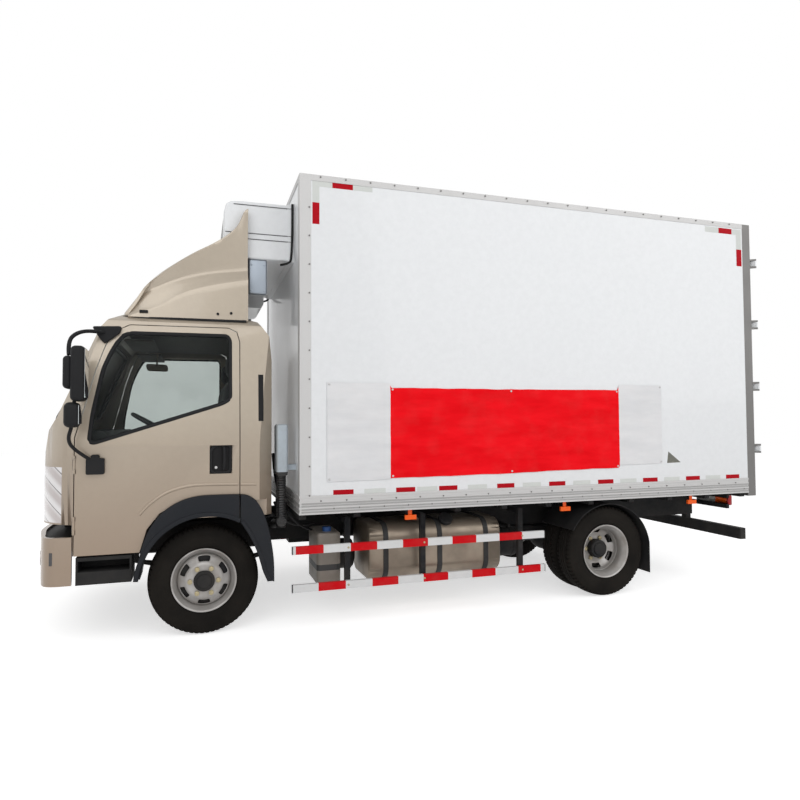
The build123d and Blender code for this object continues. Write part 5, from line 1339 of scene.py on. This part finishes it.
def fitDoors(f):
    foot, side = sideAt(along(-0.7), 1.2), sideAt(along(0.11), 1.24)
    recess = rounded(shifted(f["recess"]), 0.022)
    parts = [block(*shell, 5) for shell in f["shells"]]
    parts += [
        pipe(shifted(f["arm"]), 0.013),
        pipe(shifted(f["stay"]), 0.0115),
        plate(rounded(shifted(f["bracket"]), 0.02), -0.905, -0.962, 0.008),
        plate(rounded(shifted(f["base"]), 0.012), foot + 0.006, foot - 0.034, 0.006),
        plate(rounded(shifted(f["handle"]), 0.028), side + 0.004, side - 0.01, 0.004, holes=[recess]),
        pipe([(along(x), side + y, z) for x, y, z in f["grip"]], 0.012),
    ]
    back = plate(recess, side + 0.003, side - 0.0015, 0.001)
    lock = disc((0.075, side - 0.003, 1.178), 0.01, 0.006, bevel=0.002, sides=18)
    pair = settlePair(parts, "doorFittings_", "black_plastic", "door_", 45)
    for hand, piece in pair.items():
        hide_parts("door_fittings_" + hand)
    settlePair(back, "handleRecess_", plasticFinish("recessBlack", (0.01, 0.01, 0.011), 0.6), "door_")
    settlePair(lock, "doorLock_", "trim_aluminium", "door_")
    glass = [block(*pane, 0.0008, 1) for pane in f["mirrors"]]
    settlePair(glass, "mirrorGlass_", mirrorSilver, "door_")


fitDoors(fittings)

noseShape = {
    "shelf": [
        (-1.074, -0.64), (-1.074, 0.64), (-1.04, 0.8), (-0.985, 0.905), (-0.9, 0.955),
        (-0.85, 0.955), (-0.85, -0.955), (-0.9, -0.955), (-0.985, -0.905), (-1.04, -0.8),
    ],
    "shelfZ": (0.69, 0.728),
    "meshZ": (0.505, 0.635),
    "slotX": (0.374, 0.382, 0.39, 0.398),
    "slotZ": (1.505, 1.842),
    "lamp": [(0.004, 0.0), (0.003, 0.03), (-0.002, 0.044), (-0.006, 0.05), (0.024, 0.052)],
    "lampY": (0.66, 0.7, 0.74),
    "lampZ": 0.57,
    "lampSkinZ": 0.645,
    "reflector": (-0.956, 0.568, 0.65),  # distance, from height, to height
}


def fitNose(n):
    shelf = plate(rounded(shifted(n["shelf"]), 0.03, 3), *n["shelfZ"], 0.006, axis="Z")
    settle(shelf, "bumperShelf", "black_plastic", "chassis", smooth=40)
    low, high = n["slotZ"]
    heights = [low + (high - low) * step / 12 for step in range(13)]
    slot = [
        pipe([(along(x), sideAt(along(x), z) + 0.003, z) for z in heights], 0.007, smooth=False)
        for x in n["slotX"]
    ]
    settle(bothSides(slot), "ventSlot", "black_plastic", "cab", smooth=60)
    low, high = n["meshZ"]
    mesh = [
        row(block(-1.072, -1.062, -0.425, 0.425, low, low + 0.012, 0.003), 6, (0, 0, 0.026)),
        row(block(-1.068, -1.058, -0.42, -0.412, low - 0.01, high + 0.01, 0.002, 1), 15, (0, 0.0594, 0)),
        block(-1.056, -1.046, -0.45, 0.45, low - 0.03, high + 0.03, 0.004),
    ]
    settle(mesh, "bumperGrille", "black_plastic", "chassis")
    skin = skinOf(["bumper"])
    lamps = []
    inner, middle, outer = n["lampY"]
    for sign in hands.values():
        near, far = [noseAt(sign * y, n["lampSkinZ"], skin) for y in (inner, outer)]
        centre = ((near + far) / 2 + 0.001, sign * middle, n["lampZ"])
        lamp = turned(n["lamp"], centre, "X", 36)
        lamps.append(lean(lamp, centre, -sign * math.atan2(far - near, outer - inner), "Z"))
    settle(lamps, "fogLamps", headLampFinish(), "chassis", smooth=50)
    x, low, high = along(n["reflector"][0]), *n["reflector"][1:]
    reflector = pipe([(x, sideAt(x, low, skin) + 0.007, z) for z in (low, high)], 0.013)
    settle(bothSides(reflector), "bumperReflectors", "grey_plastic", "chassis", smooth=60)


fitNose(noseShape)

deflectorShape = {
    "crown": [  # distance, height of the side crown
        (-0.62, 2.262), (-0.546, 2.352), (-0.472, 2.462), (-0.374, 2.562), (-0.24, 2.659), (-0.096, 2.75),
        (0.044, 2.828), (0.157, 2.906), (0.23, 2.985), (0.272, 3.085), (0.302, 3.112),
    ],
    "ledge": [
        (-0.62, 2.256), (-0.485, 2.404), (-0.306, 2.494), (-0.129, 2.556), (0.066, 2.599), (0.302, 2.63),
    ],
    "skirt": [
        (-0.62, 2.25), (-0.37, 2.33), (-0.237, 2.405), (-0.094, 2.462), (0.101, 2.515), (0.302, 2.557),
    ],
    "low": 2.243,
    "centreFrom": 0.02,
    "centreRise": 0.22,
    "crownY": 0.836,
    "wallY": 0.808,
    "skirtY": 0.864,
    "noseCurve": 0.1,
    "across": 34,
    "runs": 60,
    "wall": 0.01,
    "marks": [0, 0.18, 0.28, 0.36, 0.42, 0.48, 0.66, 0.7, 0.78, 0.82, 1.0],  # shares of the section
    "seal": [(-0.56, -0.842, 2.24), (-0.45, -0.862, 2.238), (0.1, -0.866, 2.238), (0.29, -0.866, 2.24)],
    "holes": [(0.086, 2.288), (0.18, 2.297)],
}


def heightOn(line, distance):
    return between(line, distance)[0]


def deflectorSection(d, crown, ledge, skirt, top):  # across, height
    crownY, wallY, skirtY = d["crownY"], d["wallY"], d["skirtY"]
    return [
        (0.0, top), (0.55, top), (0.7, top * 0.85 + crown * 0.15), (0.79, crown - 0.001),
        (crownY, crown - 0.014), (crownY - 0.004, crown - 0.05 * min(1, (crown - ledge) * 4)),
        (wallY, ledge + 0.01), (wallY + 0.006, ledge - 0.001),
        (skirtY - 0.008, skirt + 0.008), (skirtY, skirt - 0.004), (skirtY + 0.004, d["low"]),
    ]


def makeDeflector(d):
    lines = {k: [tuple(p) for p in flowing(d[k])] for k in ("crown", "ledge", "skirt")}
    first, last = d["crown"][0][0], d["crown"][-1][0]
    marks, start = d["marks"], d["centreFrom"]

    def place(u, t):
        distance = first + (last - first) * u
        crown, ledge, skirt = (heightOn(lines[k], distance) for k in ("crown", "ledge", "skirt"))
        ledge = min(ledge, crown - 0.004)
        skirt = min(skirt, ledge - 0.003)
        fall = crown - heightOn(lines["crown"], start)
        top = crown if distance < start else crown - fall * (1 - d["centreRise"])
        section = deflectorSection(d, crown, ledge, skirt, top)
        y, z = between([(mark, *spot) for mark, spot in zip(marks, section)], t)
        bow = d["noseCurve"] * (1 - u) ** 2 * (y / d["skirtY"]) ** 4
        return along(distance) + bow, -y, max(z, d["low"])

    shell = cleaned(gridOf(d["runs"], d["across"], place), 0.0004)
    altered(shell, "MIRROR", use_axis=(False, True, False), merge_threshold=0.0005)
    altered(shell, "SOLIDIFY", thickness=d["wall"], offset=-1)
    settle(shell, "deflectorShell", "cab_paint", "cab", 30)
    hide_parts("deflector")
    settle(bothSides(pipe(shifted(d["seal"]), 0.011)), "deflectorSeal", "black_plastic", "cab", smooth=60)


makeDeflector(deflectorShape)


# black discs and a black slot sit on the skirt in place of its holes: painted shade for the openings
def deflectorHoles(spots):
    pieces = [disc((x, -0.872, z), 0.01, 0.005, bevel=0.0015, sides=18) for x, z in spots]
    pieces.append(block(-0.445, -0.388, -0.8745, -0.87, 2.272, 2.292, 0.0045, 3))
    settle(bothSides(pieces), "deflectorHoles", "black_plastic", "cab")


deflectorHoles(deflectorShape["holes"])

coolerShape = {
    "sideY": -0.7675,
    "seams": [
        [(0.14, 2.934), (0.64, 2.934)],
        [(0.14, 2.89), (0.64, 2.89)],
        [(0.2, 3.15), (0.64, 3.15)],
    ],
    "seal": [(0.641, -0.778, 3.185), (0.641, -0.778, 2.765), (0.61, -0.776, 2.715), (0.548, -0.772, 2.706)],
    "duct": (0.312, 0.452, -0.752, -0.7, 2.474, 2.742),
    "bolts": [(0.335, 2.5), (0.43, 2.5), (0.335, 2.7), (0.43, 2.7)],
}


def dressCooler(c):
    seams = [pipe([(along(x), c["sideY"], z) for x, z in run], 0.0028, smooth=False) for run in c["seams"]]
    settle(bothSides(seams), "coolerSeams", "grey_plastic", "chassis", smooth=60)
    settle(bothSides(pipe(shifted(c["seal"]), 0.009)), "coolerSeal", "black_plastic", "chassis", smooth=60)
    duct = block(*c["duct"], 0.014, 3)
    bolts = [disc((x, -0.754, z), 0.007, 0.008, bevel=0.002, sides=10) for x, z in c["bolts"]]
    settle(bothSides([duct, *bolts]), "coolerPipes", ductSilver, "chassis")


ductSilver = brushedFinish("ductSilver", (0.33, 0.37, 0.42), 0.35, (8, 1, 1), 0.7)
dressCooler(coolerShape)
print("cooler dressed")

underShape = {
    "filler": (1.846, -0.885, 0.7),
    "neck": [
        (-0.02, 0.0), (-0.02, 0.052), (0.006, 0.052), (0.01, 0.058),
        (0.034, 0.058), (0.04, 0.052), (0.04, 0.0),
    ],
    "neckLean": 42,
    "reservoirs": [((0.985, -0.56, 0.43), 0.185, 0.12), ((2.4, -0.56, 0.43), 0.25, 0.12)],
    "hoses": [
        ([(0.555, -0.7, 1.08), (0.56, -0.66, 0.95), (0.62, -0.56, 0.82), (0.64, -0.42, 0.7)], 0.022),
        ([(0.52, -0.56, 1.25), (0.53, -0.6, 1.05), (0.6, -0.52, 0.86), (0.6, -0.38, 0.72)], 0.012),
        ([(0.5, -0.82, 0.9), (0.56, -0.8, 0.76), (0.7, -0.7, 0.69), (0.84, -0.6, 0.69)], 0.01),
        ([(0.52, -0.84, 0.95), (0.6, -0.83, 0.79), (0.76, -0.74, 0.66), (0.86, -0.66, 0.64)], 0.008),
    ],
}


def airTank(spot, length, radius):  # with two straps and their hangers
    x, y, z = spot
    end = [(0, 0.0), (0.004, radius * 0.6), (0.018, radius * 0.9), (0.035, radius)]
    shape = end + [(length - a, r) for a, r in reversed(end)]
    parts = [turned(shape, (along(x), y, z), "X", 40)]
    for middle in (x + length * 0.25, x + length * 0.75):
        strap = [(-0.012, radius), (-0.012, radius + 0.004), (0.012, radius + 0.004), (0.012, radius)]
        parts.append(turned(strap, (along(middle), y, z), "X", 40))
        top = z + radius
        parts.append(block(middle - 0.012, middle + 0.012, y - 0.01, -0.38, top - 0.01, top + 0.03, 0.003))
    return parts


def fitUnderside(u, g):
    place = shifted([u["filler"]])[0]
    neck = lean(turned(u["neck"], place, "Z", 32), place, math.radians(u["neckLean"]), "X")
    settle(neck, "fuelFiller", "black_plastic", "chassis", smooth=40)
    tanks = [airTank(*tank) for tank in u["reservoirs"]]
    settle(tanks[0] + tanks[1], "airTanks", "chassis_steel", "chassis")
    runs = [pipe(shifted(points), radius) for points, radius in u["hoses"]]
    settle(runs, "enginePipes", "black_plastic", "chassis", smooth=60)
    first, last, half = g["from"], g["to"], g["half"]
    caps = [
        block(x - 0.004, x + 0.004, -1.084, -1.054, height - half, height + half, 0.003)
        for x in (first, last) for height in g["heights"]
    ]
    bolts = [
        disc((first + share * (last - first), -1.0845, height), 0.008, 0.006, bevel=0.002, sides=10)
        for share in g["posts"] for height in g["heights"]
    ]
    settle(bothSides(caps), "railEnds", "grey_plastic", "chassis")
    settle(bothSides(bolts), "railBolts", zincFinish, "chassis")


fitUnderside(underShape, guardRails)
print("underside fitted")


def wipers():
    parts = []
    for pivot, tip in ((-0.3, 0.42), (0.42, -0.36)):
        base, elbow = (-0.935, pivot, 1.52), (-0.945, pivot + 0.02, 1.56)
        x, y, z = end = (-0.902, (pivot + tip) / 2, 1.64)
        blade = [(x - 0.006, y - 0.26, z - 0.02), (x - 0.012, y, z + 0.004), (x - 0.006, y + 0.26, z + 0.02)]
        parts.append(disc(base, 0.018, 0.03, "X", 0.004))
        parts += [pipe(shifted([base, elbow, end]), 0.006), pipe(shifted(blade), 0.007)]
    settle(parts, "wipers", "black_plastic", "cab")


wipers()
print("cab trimmed")

seatShape = {
    "places": {"Driver": (-0.45, 0.5), "Passenger": (0.45, 0.5), "Centre": (0.0, 0.33)},  # middle, width
    "cushion": (-0.33, 0.15, 1.15, 1.245),  # from and to along, from and to in height
    "back": (0.135, 0.29, 1.2, 1.825),
    "head": (0.165, 0.27, 1.855, 2.02),
    "headWidth": 0.26,
    "posts": (0.21, 1.845),
    "crown": 0.022,
    "channel": 0.006,
}


def crowned(low, high, crown, channel=0):  # a stuffed form, rounded everywhere and fuller in the middle
    bpy.ops.object.select_all(action="DESELECT")
    middle = [(a + b) / 2 for a, b in zip(low, high)]
    half = [(b - a) / 2 for a, b in zip(low, high)]
    bpy.ops.mesh.primitive_cube_add(size=2)
    pad = bpy.context.object
    edit(pad)
    bpy.ops.mesh.subdivide(number_cuts=15)
    shut()
    slim = half.index(min(half))
    for v in pad.data.vertices:
        u = [max(-1.0, min(1.0, c)) for c in v.co]
        wide = [i for i in range(3) if i != slim]
        fall = (1 - u[wide[0]] ** 4) * (1 - u[wide[1]] ** 4)
        spread = max(abs(c) for c in u)
        corner = 0.16 * (math.sqrt(sum(c * c for c in u)) / max(spread, 0.01) - 1)
        place = [middle[i] + half[i] * u[i] * (1 - corner * 0.5) for i in range(3)]
        inset = half[slim] * 0.42 * (1 - fall ** 0.5)
        place[slim] -= math.copysign(inset, u[slim]) * abs(u[slim])
        if channel:
            groove = sum(math.exp(-((u[wide[0]] - g) / 0.05) ** 2) for g in (-0.36, 0.36))
            place[slim] -= math.copysign(channel * groove * fall, u[slim]) * abs(u[slim])
        place[slim] += math.copysign(crown * 0.3 * fall, u[slim]) * abs(u[slim])
        v.co = place
    return altered(pad, "SUBSURF", levels=1, render_levels=1)


def clothFinish(name, colour):
    def build(w):
        x, y, z = w.axes()
        weave = w.math("SINE", (x + z) * 2600) * w.math("SINE", (y - z) * 2600)
        pale = rgb(*(c * 1.7 for c in colour))
        return {
            "Base Color": w.blend(w.noise(6, 3) * 0.6 + weave * 0.25, rgb(*colour), pale),
            "Roughness": 0.85 + weave * 0.05,
            "Normal": w.bump(weave, 0.0006, 0.5),
        }
    return finish(name, build, Sheen_Weight=0.3)


seatCloth = clothFinish("seatFabric", (0.045, 0.045, 0.05))


def makeSeats(s):
    for name, (y, wide) in s["places"].items():
        pads = [("seat", s["cushion"], wide, s["channel"]), ("backrest", s["back"], wide, s["channel"])]
        if name != "Centre":
            pads.append(("headrest", s["head"], s["headWidth"], 0.0))
        for kind, (x0, x1, z0, z1), across, channel in pads:
            low, high = (along(x0), y - across / 2, z0), (along(x1), y + across / 2, z1)
            pad = crowned(low, high, s["crown"], channel)
            settle(pad, kind + name, seatCloth, "cab", 60)
            if kind == "seat" and name == "Driver":
                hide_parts("seats")
        if name != "Centre":
            x, z = s["posts"]
            posts = [disc((x, y + d, z), 0.006, 0.08, "Z", 0.001, 12) for d in (-0.06, 0.06)]
            settle(posts, "headrestPosts" + name, "trim_aluminium", "cab")


makeSeats(seatShape)

inside = {
    "mirror": [(-0.463, 1.99), (-0.292, 1.984), (-0.285, 1.926), (-0.452, 1.93)],
    "stalk": [(-0.375, 0, 1.975), (-0.375, 0.004, 2.02), (-0.37, 0, 2.075)],
    "visorStarts": (-0.8, 0.15),
}


def fitInside(c):
    mirror = plate(rounded(shifted(c["mirror"]), 0.024), -0.012, 0.018, 0.006)
    stalk = pipe(shifted(c["stalk"]), 0.007)
    settle([mirror, stalk], "cabMirror", plasticFinish("mirrorShell", (0.26, 0.215, 0.165), 0.5), "cab")
    lining = clothFinish("headlining", (0.13, 0.115, 0.095))
    shades = [block(-0.55, -0.35, y, y + 0.65, 2.075, 2.093, 0.008, 3) for y in c["visorStarts"]]
    settle(shades, "sunVisors", lining, "cab")
    settle(block(-0.56, 0.38, -0.8, 0.8, 2.168, 2.184, 0.007, 3), "headlining", lining, "cab")


fitInside(inside)
print("cab furnished")
